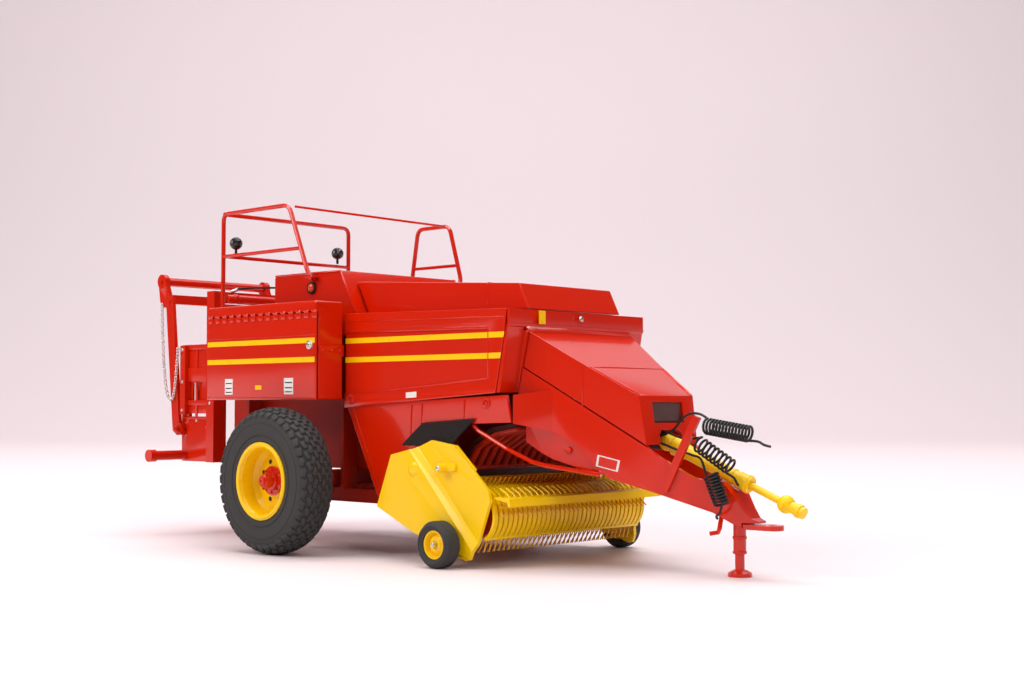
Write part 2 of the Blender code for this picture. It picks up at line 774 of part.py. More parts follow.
def build_drawbar():
    rear = 67.0
    front = 119.0
    plan = both([(rear, nose_half(rear)), (front, nose_half(front)), (DRAWBAR_TIP, 1.5)])
    outer = common(prism("XZ", DRAWBAR_TOP + DRAWBAR_LOW, (-28, 28)), prism("XY", plan, (5, 60)))
    wall = DRAWBAR_WALL
    inside = both([(rear - 1, nose_half(rear - 1) - wall), (113.6, nose_half(113.6) - wall)])
    drawbar = cut(outer, prism("XY", inside, (5, 60)))
    corners = []
    for side, _ in SIDES:
        facet = [
            (NOSE_REAR + 0.9, side * (BODY_HALF - 0.7)),
            (77.6, side * nose_half(77.6)),
            (76.6, side * (nose_half(76.6) - 1.0)),
            (NOSE_REAR + 0.9, side * (BODY_HALF - 2.0)),
        ]
        low_edge = [(NOSE_REAR + 0.5, 35.2), (78.2, 33.0), (78.2, 43.4), (NOSE_REAR + 0.5, 41.9)]
        corners.append(common(prism("XY", facet, (30, 50)), prism("XZ", low_edge, (-30, 30))))
    # inner cheeks close the space under the sides
    cheek = [
        (70.4, 30.6),
        (74.4, 27.8),
        (77.1, 26.4),
        (83.0, 24.5),
        (89.4, 22.9),
        (90.4, 25.0),
        (85.6, 31.0),
        (78.0, 35.0),
        (70.4, 36.4),
    ]
    for side, _ in SIDES:
        plan = [
            (x, side * (nose_half(x) - inset))
            for x, inset in ((70, wall - 0.1), (91, wall - 0.1), (91, wall + 0.8), (70, wall + 0.8))
        ]
        corners.append(common(prism("XZ", cheek, (-30, 30)), prism("XY", plan, (20, 40))))
    bridge = block((NOSE_REAR + 0.5, NOSE_REAR + 1.7), (-20, 20), (36.0, 38.0))
    mount_half = nose_half(SHAFT_MOUNT_X) - DRAWBAR_WALL / 2
    mount = block((SHAFT_MOUNT_X - 1.2, SHAFT_MOUNT_X), (-mount_half, mount_half), (24.5, 34.4))
    socket = cylinder((JACK_X, 0, JACK_TUBE_LOW), (JACK_X, 0, 16.0), JACK_TUBE_R, sides=24)
    drawbar = joined(drawbar, *corners, bridge, mount, socket)
    bore_top = JACK_LEG_TOP + JACK_TRAVEL + GAP
    bore = cylinder((JACK_X, 0, JACK_TUBE_LOW - 1), (JACK_X, 0, bore_top), JACK_LEG_R + 0.1, sides=24)
    groove = cylinder(shaft_point(4), shaft_point(40), 2.5, sides=20)
    part("drawbar", cut(drawbar, bore, groove), RED, 0.2)


def build_hitch():
    rear = (HITCH_REAR, nose_half(HITCH_REAR))
    eye = [(rear[0], -rear[1]), *arc((HITCH_X, 0), HITCH_EYE_R, -80, 80, 12), rear]
    plate = prism("XY", eye, (HITCH_Z - HITCH_THICK, HITCH_Z))
    hole = cylinder((HITCH_X, 0, HITCH_Z - 3), (HITCH_X, 0, HITCH_Z + 3), HITCH_HOLE_R, sides=24)
    part("hitch_plate", cut(plate, hole), RED, 0.25)


def build_jack():
    leg = cylinder((JACK_X, 0, 0.8), (JACK_X, 0, JACK_LEG_TOP), JACK_LEG_R, sides=24)
    foot = turned(
        [(0, 1.6), (1.5, 1.6), (2.3, 1.2), (JACK_FOOT_R, 0.9), (JACK_FOOT_R, 0.0), (0, 0.0)],
        (JACK_X, 0, 0),
        axis=(0, 0, 1),
        steps=24,
        closed=False,
    )
    part("jack_leg", joined(leg, foot), RED, 0.25, pivot=(JACK_X, 0, 0))


def build_hose_bracket():
    """A flat strap that leans forward in the plane of the drawbar's right side."""
    foot = (104.4, 19.4)
    top = (112.0, 36.9)
    wide = 0.85
    lean = Vector((top[0] - foot[0], top[1] - foot[1])).normalized()
    across = Vector((lean.y, -lean.x)) * wide
    outline = [tuple(Vector(p) + s * across) for p, s in ((foot, 1), (top, 1), (top, -1), (foot, -1))]
    plan = [(x, -nose_half(x) - gap) for x, gap in ((100, GAP), (116, GAP), (116, GAP + 0.8), (100, GAP + 0.8))]
    strap = common(prism("XZ", outline, (-20, 0)), prism("XY", plan, (10, 50)))
    part("hose_bracket", strap, RED, 0.25)


def build_crank():
    path = [(116.2, -3.2, 13.8), (116.2, -3.6, 12.6), (116.2, -4.0, 11.1), (115.8, -4.1, 10.2), (114.2, -5.2, 9.9)]
    part("drawbar_crank", tube(path, 0.55), RED, 0.3)


def shaft_point(distance):
    """A point on the drive shaft's axis, that far from its rear joint."""
    along = Vector((1, 0, -SHAFT_SLOPE)).normalized()
    return Vector((SHAFT_X, 0, SHAFT_Z)) + along * distance


def build_drive_shaft():
    start = shaft_point(0)
    yoke = joined(
        ball(start, 2.3),
        cylinder((SHAFT_MOUNT_X + GAP, 0, SHAFT_Z + 0.8), start, 1.6, sides=20),
    )
    part("shaft_yoke", yoke, YELLOW, 0.35)
    along = (1, 0, -SHAFT_SLOPE)
    guard = [
        (0, 2.3 + GAP),
        (2.4, 2.3 + GAP),
        (1.75, 5.0),
        (1.75, 21.9),
        (2.0, 22.0),
        (2.0, 25.4),
        (0.95, 25.4),
        (0.95, 9.0),
        (0, 9.0),
    ]
    part("shaft_guard", turned(guard, start, along, 28, closed=False), YELLOW, 0.35, pivot=tuple(start))
    inner = joined(
        cylinder(shaft_point(10.0), shaft_point(35.0), 0.85, sides=20),
        ball(shaft_point(35.6), 2.1),
        cylinder(shaft_point(35.6), shaft_point(40.6), 1.35, sides=20),
    )
    part("shaft_slider", inner, YELLOW, 0.35, pivot=tuple(start))


# Pickup


PICKUP_OUTLINE = [
    (35.1, 26.9),
    (29.8, 13.6),
    (43.6, 7.6),
    (61.6, 1.9),
    (63.2, 2.2),
    (68.7, 16.6),
    (68.1, 19.0),
    (56.3, 29.7),
    (48.6, 30.8),
    (42.5, 28.5),
]
CREASE = ((42.5, 28.5), (58.1, 11.5))


def build_pickup_side(side, name):
    """A plate with a joggle along a slanting crease: its rear half stands further out."""
    (x0, z0), (x1, z1) = CREASE
    along = Vector((x1 - x0, z1 - z0)).normalized()
    across = Vector((-along.y, along.x))  # towards the front half
    stepped = [
        (-40, PICKUP_INNER + PICKUP_STEP),
        (-1.0, PICKUP_INNER + PICKUP_STEP),
        (1.0, PICKUP_INNER),
        (40, PICKUP_INNER),
        (40, PICKUP_INNER + PICKUP_PLATE),
        (1.4, PICKUP_INNER + PICKUP_PLATE),
        (-0.6, PICKUP_INNER + PICKUP_PLATE + PICKUP_STEP),
        (-40, PICKUP_INNER + PICKUP_PLATE + PICKUP_STEP),
    ]
    sheet = prism("XY", [(a, side * b) for a, b in stepped], (-60, 60))
    turn = Matrix(
        (
            (across.x, 0, along.x, x0 * MM),
            (0, 1, 0, 0),
            (across.y, 0, along.y, z0 * MM),
            (0, 0, 0, 1),
        )
    )
    sheet.data.transform(turn)
    if turn.determinant() < 0:
        sheet.data.flip_normals()
    plate = common(prism("XZ", PICKUP_OUTLINE, (side * 20, side * 40)), sheet)
    root = side * (PICKUP_INNER + 0.4)
    hub = cylinder((GAUGE_X, root, GAUGE_R), (GAUGE_X, side * (GAUGE_HALF + 1.2), GAUGE_R), 0.9, sides=16)
    square = (GAUGE_R - 1.5, GAUGE_R + 1.5)
    arm = block((GAUGE_X - 1.5, GAUGE_X + 1.5), (side * (PICKUP_INNER + 0.2), side * 32.5), square)
    boss = cylinder((53.6, root, 24.0), (53.6, side * 33.6, 24.0), 1.1, sides=16)
    pivot_boss = cylinder(
        (PICKUP_PIVOT_X, side * (BODY_HALF + 0.3), PICKUP_PIVOT_Z),
        (PICKUP_PIVOT_X, side * 31.5, PICKUP_PIVOT_Z),
        1.8,
        sides=20,
    )
    made = joined(plate, hub, arm, boss, pivot_boss)
    part("pickup_side_" + name, made, YELLOW, 0.3, pivot=(PICKUP_PIVOT_X, 0, PICKUP_PIVOT_Z))


def build_pickup():
    pivot = (PICKUP_PIVOT_X, 0, PICKUP_PIVOT_Z)
    centre = (REEL_X, REEL_Z)
    outer_r = REEL_R + STRIPPER_THICK
    outline = [
        (53.2, 21.6),
        *arc(centre, outer_r, 100, -50, 14),
        *arc(centre, REEL_R, -50, 100, 14),
        (53.2, 20.8),
    ]
    half = PICKUP_INNER - GAP
    part("pickup_strippers", prism("XZ", outline, (-half, half)), YELLOW, 0.35, pivot=pivot)
    shapes = [cylinder((REEL_X, -half, REEL_Z), (REEL_X, half, REEL_Z), 1.5, sides=12)]
    for i in range(4):
        x, z = next(arc(centre, 4.6, 45 + 90 * i, 360, 1))
        shapes.append(cylinder((x, -half + 1.0, z), (x, half - 1.0, z), 0.5, sides=8))
    for y in (-half + 1.4, 0, half - 1.4):
        shapes.append(cylinder((REEL_X, y - 0.5, REEL_Z), (REEL_X, y + 0.5, REEL_Z), 5.6, sides=16))
    part("pickup_reel", joined(*shapes), DARK_RED, 0.4, pivot=(REEL_X, 0, REEL_Z))
    # the plate stands clear of the reel's tines; a lug at each end reaches back to the strippers
    low = REEL_Z + 4.1
    lug_rear = REEL_X + math.sqrt(outer_r**2 - 4.1**2) + 0.5
    plate_rear = lug_rear + 2.6
    guard = [(plate_rear, low), (73.0, 16.3), (73.4, 15.2), (74.1, 15.2), (73.9, 17.1), (plate_rear, low + 0.9)]
    lugs = [
        block((lug_rear, plate_rear + 0.5), (side * (half - 0.9), side * (half - 0.05)), (low + 0.1, low + 0.8))
        for side, _ in SIDES
    ]
    guard = joined(prism("XZ", guard, (-half, half)), *lugs)
    part("pickup_windguard", guard, YELLOW, 0.3, pivot=pivot)


def build_gauge_wheel(side, name):
    centre = (GAUGE_X, side * GAUGE_HALF, GAUGE_R)
    half = GAUGE_WIDE / 2
    tyre = turned(tyre_profile(GAUGE_R, 3.6, half, 0.5), centre, steps=24)
    part("gauge_tyre_" + name, tyre, BLACK, 0.6, pivot=centre)
    disc = [
        (0.9 + PIN_PLAY, 1.2),
        (1.7, 1.2),
        (2.6, 0.5),
        (3.1, 1.7),
        (3.5, 1.7),
        (3.5 - 0.12, -1.7),
        (3.1, -1.7),
        (2.6, -0.6),
        (0.9 + PIN_PLAY, -1.2),
    ]
    rim = turned([(r, side * offset) for r, offset in disc], centre, steps=24)
    part("gauge_rim_" + name, rim, YELLOW, 0.3, pivot=centre)


def build_feed_intake():
    outline = [
        (69.8, 34.2),
        (62.0, 33.0),
        (55.5, 29.5),
        (52.0, 23.4),
        (51.0, 23.4),
        (54.6, 30.2),
        (61.6, 34.0),
        (69.8, 35.2),
    ]
    half = 23.0
    roof = prism("XZ", outline, (-half, half))
    floor = [(CHAMBER_FRONT + GAP, 20.2), (51.9, 23.2), (51.9, 24.6), (CHAMBER_FRONT + GAP, 24.6)]
    throat = prism("XZ", floor, (-half, half))
    part("feed_intake", joined(roof, throat), DARK_RED, 0.5)


def build_flap(side, name):
    """A rubber skirt that fans from the lower panel to the pickup's side plate."""
    top = ((40.9, 26.15, 34.9), (59.3, 26.15, 36.1))
    low = ((36.6, 29.4, 29.3), (53.4, 29.4, 29.0))
    thick = 0.2
    shape = bmesh.new()
    corners = []
    for offset in (0, thick):
        for x, y, z in (*top, *reversed(low)):
            corners.append(shape.verts.new((x * MM, side * (y + offset) * MM, z * MM)))
    front = corners[:4]
    back = corners[4:]
    shape.faces.new(front)
    shape.faces.new(reversed(back))
    for i in range(4):
        j = (i + 1) % 4
        shape.faces.new((front[j], front[i], back[i], back[j]))
    bmesh.ops.triangulate(shape, faces=shape.faces)
    part("pickup_flap_" + name, from_bmesh(shape), BLACK, 0.7)


def build_crop_rod(side, name):
    path = [
        (58.0, BODY_HALF - 1.05, 34.5),
        (59.4, BODY_HALF - 1.2, 33.2),
        (68.0, 24.2, 28.9),
        (74.5, 22.4, 25.9),
        (77.5, 20.9, 25.0),
        (84.0, 17.6, 23.9),
        (89.9, nose_half(89.9) + 0.95, 22.9),
    ]
    part("crop_rod_" + name, tube([(x, side * y, z) for x, y, z in path], 0.55), RED, 0.25)


# Guard rails and lights


def round_corner(before, corner, after, radius, steps=4):
    """Points that replace a corner by an arc."""
    back = (Vector(before) - Vector(corner)).normalized() * radius
    ahead = (Vector(after) - Vector(corner)).normalized() * radius
    for i in range(steps + 1):
        t = i / steps
        yield Vector(corner) + back * (1 - t) ** 2 + ahead * t**2


def rounded_path(points, radius):
    path = [Vector(points[0])]
    for before, corner, after in zip(points, points[1:], points[2:]):
        path += round_corner(before, corner, after, radius)
    return path + [Vector(points[-1])]


def build_guard_rails():
    y = -RAIL_HALF
    front_top = (-16.4, y, RAIL_TOP)
    front_foot = (-7.4, y, 75.6)
    loop = [
        (GUARD_REAR, -CHAMBER_HALF - GAP, 55.5),
        (GUARD_REAR, y, 57.5),
        (GUARD_REAR, y, RAIL_TOP),
        front_top,
        front_foot,
        (-7.0, -KNOTTER_HALF - 2 * GAP, 74.4),
    ]
    t = (RAIL_TOP - RAIL_MID) / (RAIL_TOP - front_foot[2])
    mid_front = front_top[0] + t * (front_foot[0] - front_top[0])
    cross = [
        (GUARD_REAR, y + 0.2, RAIL_TOP),
        (GUARD_REAR, RAIL_HALF, RAIL_TOP),
        (GUARD_REAR, RAIL_HALF, 57.5),
        (GUARD_REAR, CHAMBER_HALF + GAP, 55.5),
    ]
    rails = joined(
        tube(rounded_path(loop, 2.4), RAIL_R),
        tube(rounded_path(cross, 2.4), RAIL_R),
        tube([(GUARD_REAR, y, RAIL_MID), (mid_front, y, RAIL_MID)], 0.55),
        tube([(GUARD_REAR, y, RAIL_MID + 0.1), (GUARD_REAR, RAIL_HALF, RAIL_MID + 0.1)], 0.55),
    )
    part("guard_rail_rear", rails, RED, 0.25)
    y = RAIL_HALF
    far = [
        (-17.6, KNOTTER_HALF + 2 * GAP, 74.2),
        (-17.6, y, 76.0),
        (-14.6, y, 93.4),
        (-1.0, y, 93.4),
        (4.2, y, 76.0),
        (3.9, KNOTTER_HALF + 2 * GAP, 73.6),
    ]
    rod = tube([(-15.6, -RAIL_HALF + RAIL_R + 0.9, RAIL_TOP - 0.4), (-2.6, RAIL_HALF, 93.4)], 0.35)
    left = joined(
        tube(rounded_path(far, 2.2), RAIL_R),
        tube([(-16.6, y, 81.3), (2.6, y, 81.3)], 0.5),
        rod,
    )
    part("guard_rail_left", left, RED, 0.25)


def build_work_light(side, name):
    centre = (GUARD_REAR, side * 19.9, 88.0)
    stem = cylinder((GUARD_REAR, side * 19.9, RAIL_MID + 0.65 + GAP), (GUARD_REAR, side * 19.9, 87.0), 0.4, sides=12)
    part("work_light_" + name, joined(ball(centre, 1.95), stem), BLACK, 0.3)


# Hoses: each is a lead tube, the solid of its coil and a tail


def smooth_path(route, spacing):
    """Points along a smooth curve through the route's own points (Catmull-Rom)."""
    route = [Vector(p) for p in route]
    ends = [2 * route[0] - route[1], *route, 2 * route[-1] - route[-2]]
    path = [route[0]]
    for before, start, end, after in zip(ends, ends[1:], ends[2:], ends[3:]):
        steps = max(2, round((end - start).length / spacing))
        for i in range(1, steps + 1):
            t = i / steps
            path.append(
                0.5
                * (
                    2 * start
                    + (end - before) * t
                    + (2 * before - 5 * start + 4 * end - after) * t**2
                    + (3 * start - before - 3 * end + after) * t**3
                )
            )
    return path


HOSES = {
    # lead route, coil's two ends and radius, tail route
    "1": (
        [
            (97.4, -2.9, 31.9),
            (100.4, -3.4, 32.6),
            (103.7, -4.4, 33.9),
            (106.7, -5.6, 36.0),
            (109.5, -6.3, 37.5),
            (112.6, -6.6, 37.5),
            (114.0, -6.6, 36.3),
        ],
        ((114.4, -6.6, 34.7), (126.4, -6.6, 33.0), 1.75),
        [(126.9, -6.5, 32.9), (127.9, -6.4, 31.7), (129.6, -6.3, 30.8), (131.5, -6.2, 30.3)],
    ),
    "2": (
        [
            (97.4, -1.6, 33.1),
            (100.6, -2.6, 32.9),
            (104.8, -4.0, 32.0),
            (108.7, -5.2, 31.4),
            (111.3, -6.0, 30.7),
        ],
        ((111.7, -6.1, 30.6), (121.0, -6.1, 25.3), 1.75),
        [(121.2, -6.1, 24.9), (121.4, -6.1, 23.6), (121.9, -6.1, 22.2), (122.6, -6.1, 21.3)],
    ),
    "3": (
        [
            (97.6, -4.0, 31.0),
            (101.2, -4.2, 30.0),
            (105.0, -4.5, 28.9),
            (109.5, -5.4, 27.7),
            (114.0, -7.0, 26.7),
            (115.8, -7.8, 25.6),
            (116.4, -8.0, 24.3),
        ],
        ((116.6, -8.0, 23.7), (119.6, -8.0, 16.9), 1.65),
        [(119.7, -8.0, 16.5), (118.8, -7.7, 15.2), (117.3, -6.9, 14.6), (116.4, -6.0, 14.2), (116.3, -5.0, 13.4)],
    ),
}


def build_hose(number):
    lead, (start, end, radius), tail = HOSES[number]
    part("hose_lead_" + number, tube(smooth_path(lead, 2.5 * HOSE_R * 2), HOSE_R, 2), BLACK, 0.4)
    part("hose_coil_" + number, cylinder(start, end, radius, sides=16), BLACK, 0.4)
    part("hose_tail_" + number, tube(smooth_path(tail, 2.5 * HOSE_R * 2), HOSE_R, 2), BLACK, 0.4)


def build():
    build_chassis()
    build_axle()
    build_chamber()
    build_rear_frame()
    build_chute()
    build_knotter_cover()
    build_top_hood()
    build_cowl()
    build_gearbox_hood()
    build_drawbar()
    build_hitch()
    build_jack()
    build_hose_bracket()
    build_crank()
    build_drive_shaft()
    build_pickup()
    build_feed_intake()
    build_guard_rails()
    for side, name in SIDES:
        build_wheel(side, name)
        build_twine_box(side, name)
        build_side_panel(side, name)
        build_lower_panel(side, name)
        build_pickup_side(side, name)
        build_gauge_wheel(side, name)
        build_flap(side, name)
        build_crop_rod(side, name)
        build_work_light(side, name)
    for number in HOSES:
        build_hose(number)


build()
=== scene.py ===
import json
import math

import bmesh
import bpy
from bpy.props import FloatProperty, FloatVectorProperty, IntProperty, PointerProperty
from mathutils import Matrix, Vector
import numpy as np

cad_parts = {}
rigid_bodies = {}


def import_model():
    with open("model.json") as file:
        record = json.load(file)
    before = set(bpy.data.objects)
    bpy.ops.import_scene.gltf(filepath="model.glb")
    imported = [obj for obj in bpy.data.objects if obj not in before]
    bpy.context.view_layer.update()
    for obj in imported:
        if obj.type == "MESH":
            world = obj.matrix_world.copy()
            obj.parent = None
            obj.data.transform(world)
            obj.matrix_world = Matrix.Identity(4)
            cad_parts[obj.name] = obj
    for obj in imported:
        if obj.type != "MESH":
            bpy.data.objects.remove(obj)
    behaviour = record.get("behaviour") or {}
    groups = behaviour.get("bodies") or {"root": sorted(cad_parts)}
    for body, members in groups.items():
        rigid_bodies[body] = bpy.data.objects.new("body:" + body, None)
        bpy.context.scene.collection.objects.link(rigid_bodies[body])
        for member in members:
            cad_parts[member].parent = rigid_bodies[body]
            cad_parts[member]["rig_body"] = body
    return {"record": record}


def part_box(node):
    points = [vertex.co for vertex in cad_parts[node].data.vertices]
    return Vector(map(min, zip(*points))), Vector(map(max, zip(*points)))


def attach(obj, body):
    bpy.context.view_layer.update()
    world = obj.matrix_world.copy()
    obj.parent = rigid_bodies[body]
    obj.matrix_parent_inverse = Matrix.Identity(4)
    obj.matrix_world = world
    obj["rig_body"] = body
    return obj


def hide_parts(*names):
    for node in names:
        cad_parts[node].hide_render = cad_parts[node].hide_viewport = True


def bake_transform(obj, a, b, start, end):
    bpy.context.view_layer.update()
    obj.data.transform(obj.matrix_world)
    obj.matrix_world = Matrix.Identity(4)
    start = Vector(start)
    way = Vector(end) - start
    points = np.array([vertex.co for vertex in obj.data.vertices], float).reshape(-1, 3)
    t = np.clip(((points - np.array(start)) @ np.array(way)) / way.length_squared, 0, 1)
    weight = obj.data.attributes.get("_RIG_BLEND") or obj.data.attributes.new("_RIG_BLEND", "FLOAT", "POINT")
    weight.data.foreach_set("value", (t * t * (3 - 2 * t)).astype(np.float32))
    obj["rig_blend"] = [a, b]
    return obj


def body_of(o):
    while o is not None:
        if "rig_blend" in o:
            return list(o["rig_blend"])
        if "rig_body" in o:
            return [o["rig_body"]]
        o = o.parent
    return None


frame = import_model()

bl_info = {
    "name": "Square baler trim", "version": (1, 0, 0), "blender": (4, 5, 0),
    "location": "3D View > Sidebar > Baler",
    "description": "Finishes, trim, hoses and studio for a scale model of a big square baler",
    "category": "Object",
}

MM = 0.001
AXLE_X = -24.6  # the main axle's place along the frame; stations below are measured from it
SIDES = ((-1, "right"), (1, "left"))
BODY_HALF = 26.5  # the side panels' outer face, from the middle
BOX_OUT = 36.5  # the twine boxes' outer face
REAR_FACE = 18.7  # the rear frame's outer face
STRIPES = ((50.9, 52.3), (56.0, 57.4))  # the low and high edges of the two stripes
REEL = (61.6, 12.6)  # the pickup reel's axis: station and height
NOSE = (70.6, 20.8, 0.3556)  # the nose's rear end: station and half width, and how fast it narrows
SHAFT = (98.6, 30.7, 0.41)  # the drive shaft's rear end: station and height, and how steeply it falls
JACK_X = 119.0
MARKER = (-8.6, 22.5, 72.4)  # the left marker lamp
HINGE_Z = 64.5  # the twine box doors' hinge line
VIEW_YAW, VIEW_PITCH = math.radians(47.29), math.radians(2.435)


def at(x, y, z):
    """The point at a station, in metres."""
    return Vector(((x + AXLE_X) * MM, y * MM, z * MM))


def nose_half(x):
    """Half the nose's width at a station."""
    return NOSE[1] - NOSE[2] * (x - NOSE[0])


def colour(name, label, value):
    return FloatVectorProperty(
        name=name, description=label, subtype="COLOR", size=3, min=0, max=1, default=value
    )


class BalerColours(bpy.types.PropertyGroup):
    red: colour("Red", "Glossy paint on the panels", (0.62, 0.014, 0.0))
    deep_red: colour("Deep red", "Paint on the intake's ribs", (0.38, 0.014, 0.004))
    yellow: colour("Yellow", "Paint on the pickup, the rims and the shaft", (0.93, 0.59, 0.0))
    black: colour("Black", "Rubber and plastic", (0.012, 0.012, 0.013))
    amber: colour("Amber", "Marker lamp lenses", (0.70, 0.07, 0.005))


class BalerSizes(bpy.types.PropertyGroup):
    hose_radius: FloatProperty(
        name="Hose radius", description="Half a hose's thickness", default=0.3 * MM, min=0.15 * MM,
        unit="LENGTH",
    )
    stripe_thick: FloatProperty(
        name="Stripe thickness", description="How far a stripe stands off", default=0.05 * MM, unit="LENGTH"
    )
    edge: FloatProperty(
        name="Panel edge", description="Rounding of the sheet panels' edges", default=0.22 * MM, unit="LENGTH"
    )
    lugs: IntProperty(name="Tread lugs", description="Lugs in each row of a main tyre", default=40, min=12)
    bands: IntProperty(name="Pickup bands", description="Stripper bands across the pickup", default=34, min=8)
    tine_reach: FloatProperty(
        name="Tine reach", description="Tine tips from the reel's axis", default=9.0 * MM, unit="LENGTH"
    )
    link_wire: FloatProperty(
        name="Chain wire", description="Radius of the chain's wire", default=0.17 * MM, unit="LENGTH"
    )


# Finishes


def new_finish(
    name, tint, rough, coat=0.0, metal=0.0, grain=6.0, spread=0.05, shade=0.06, bump=0.0, bump_grain=0.3
):
    """A material whose colour and roughness wander a little over the surface, with a fine relief."""
    made = bpy.data.materials.new(name)
    made.use_nodes = True
    nodes, links = made.node_tree.nodes, made.node_tree.links
    shader = nodes["Principled BSDF"]
    shader.inputs["Metallic"].default_value = metal
    shader.inputs["Coat Weight"].default_value = coat
    shader.inputs["Specular IOR Level"].default_value = 0.28
    shader.inputs["Coat Roughness"].default_value = 0.06
    coords = nodes.new("ShaderNodeTexCoord")
    noise = nodes.new("ShaderNodeTexNoise")
    noise.inputs["Scale"].default_value = 1 / (grain * MM)
    noise.inputs["Detail"].default_value = 4
    links.new(coords.outputs["Object"], noise.inputs["Vector"])
    span = nodes.new("ShaderNodeMapRange")
    span.inputs["From Min"].default_value = 0.3
    span.inputs["From Max"].default_value = 0.7
    span.inputs["To Min"].default_value = max(0.02, rough - spread)
    span.inputs["To Max"].default_value = min(1, rough + spread)
    links.new(noise.outputs["Fac"], span.inputs["Value"])
    links.new(span.outputs["Result"], shader.inputs["Roughness"])
    mix = nodes.new("ShaderNodeMix")
    mix.data_type = "RGBA"
    mix.inputs["A"].default_value = (*[c * (1 - shade) for c in tint], 1)
    mix.inputs["B"].default_value = (*[min(1, c * (1 + shade)) for c in tint], 1)
    links.new(noise.outputs["Fac"], mix.inputs["Factor"])
    links.new(mix.outputs["Result"], shader.inputs["Base Color"])
    if bump:
        fine = nodes.new("ShaderNodeTexNoise")
        fine.inputs["Scale"].default_value = 1 / (bump_grain * MM)
        fine.inputs["Detail"].default_value = 3
        links.new(coords.outputs["Object"], fine.inputs["Vector"])
        relief = nodes.new("ShaderNodeBump")
        relief.inputs["Strength"].default_value = 0.5
        relief.inputs["Distance"].default_value = bump * MM
        links.new(fine.outputs["Fac"], relief.inputs["Height"])
        links.new(relief.outputs["Normal"], shader.inputs["Normal"])
    return made


# Each finish: its colour, or the name of one of the user's colours, then its roughness and its other values.
# The chamber, the axle and the chassis sit in shade under the panels: their red is darkened as painted shade,
# and they are less polished.
FINISHES = {
    "gloss_red": ("red", 0.2, dict(coat=0.5, spread=0.015, shade=0.03, grain=20, bump=0.001, bump_grain=1.2)),
    "frame_red": ("red", 0.34, dict(coat=0.3, spread=0.02, grain=12, shade=0.05, bump=0.002, bump_grain=0.8)),
    "chamber_red": ((0.34, 0.008, 0.0), 0.5, dict(spread=0.03, grain=10, bump=0.004, bump_grain=0.8)),
    "intake_red": ("deep_red", 0.45, dict(coat=0.2, bump=0.01, bump_grain=0.8)),
    # the intake's body is near black: painted shade for the gaps between its ribs
    "intake_shade": ((0.045, 0.005, 0.004), 0.6, dict(shade=0.3, grain=3, bump=0.01)),
    "gloss_yellow": ("yellow", 0.33, dict(coat=0.3, spread=0.02, shade=0.03, grain=15, bump=0.001)),
    "satin_yellow": ("yellow", 0.42, dict(coat=0.15, shade=0.05, bump=0.008)),
    "tine_yellow": ((0.80, 0.40, 0.01), 0.35, dict(coat=0.2, shade=0.1, grain=2)),
    "stripe_yellow": ((0.97, 0.60, 0.0), 0.3, dict(coat=0.6, shade=0.02)),
    "gloss_black": ("black", 0.22, dict(coat=0.5)),
    "tyre_rubber": (
        (0.013, 0.0125, 0.011), 0.72, dict(spread=0.1, shade=0.25, grain=2, bump=0.03, bump_grain=0.5)
    ),
    "hose_rubber": ("black", 0.35, dict(shade=0.1, grain=1.5, bump=0.01)),
    "matt_black": ((0.016, 0.014, 0.014), 0.6, dict(shade=0.2, grain=3, bump=0.02, bump_grain=0.5)),
    "window_dark": ((0.10, 0.05, 0.045), 0.12, dict(coat=0.9, shade=0.15, grain=3)),
    "bright_steel": ((0.72, 0.70, 0.68), 0.28, dict(metal=1.0, shade=0.08, grain=1)),
    "white_label": ((0.82, 0.80, 0.79), 0.4, dict(shade=0.02)),
    "label_grey": ((0.35, 0.32, 0.32), 0.5, {}),
    "amber_lens": ("amber", 0.2, dict(coat=0.6, shade=0.1, grain=1)),
    "pale_floor": ((0.80, 0.715, 0.74), 0.5, dict(shade=0.004, grain=400)),
}
SLOT_FINISH = {
    "red_paint": "gloss_red", "dark_red_paint": "intake_red", "yellow_paint": "gloss_yellow",
    "yellow_plastic": "satin_yellow", "black_plastic": "gloss_black", "black_rubber": "matt_black",
    "black_hose": "hose_rubber", "tyre_rubber": "tyre_rubber", "smoked_window": "window_dark",
}


def finish(name):
    """The named material, made from its row the first time it is asked for."""
    tint, rough, values = FINISHES[name]
    if isinstance(tint, str):
        tint = getattr(bpy.context.scene.baler_colours, tint)
    return bpy.data.materials.get(name) or new_finish(name, tint, rough, **values)


# Shapes


def verts_of(geom):
    return [v for v in geom if isinstance(v, bmesh.types.BMVert)]


def bevel(shape, edges, width, segments=2):
    bmesh.ops.bevel(
        shape, geom=edges, offset=width * MM, offset_type="OFFSET", affect="EDGES", segments=segments,
        profile=0.5, clamp_overlap=True, material=-1,
    )


def spin(shape, geom, centre, axis, steps):
    bmesh.ops.spin(
        shape, geom=geom, cent=centre, axis=axis, dvec=(0, 0, 0), angle=2 * math.pi, steps=steps,
        use_merge=True, use_duplicate=False,
    )


def rounded(shape, verts, width, segments=2, least=0.4):
    """Rounds the edges at these vertices that turn by more than least."""
    if not width:
        return
    edges = {edge for vert in verts for edge in vert.link_edges}
    edges = [edge for edge in edges if edge.calc_face_angle(0) > least]
    edges.sort(key=lambda edge: edge.index)
    if edges:
        bevel(shape, edges, width, segments)


def box(shape, low, high, edge=0.1, segments=2):
    a, b = at(*low), at(*high)
    verts = bmesh.ops.create_cube(shape, size=1)["verts"]
    bmesh.ops.scale(shape, vec=[abs(s) for s in b - a], verts=verts)
    bmesh.ops.translate(shape, vec=(a + b) / 2, verts=verts)
    shape.edges.index_update()
    rounded(shape, verts, edge, segments)


def spot(plane, a, b, depth):
    """The point with coordinates a and b in a plane, at a depth across it."""
    if plane == "XZ":
        return at(a, depth, b)
    if plane == "XY":
        return at(a, b, depth)
    return at(depth, a, b)


def oblong(x0, low, x1, high):
    return [(x0, low), (x1, low), (x1, high), (x0, high)]


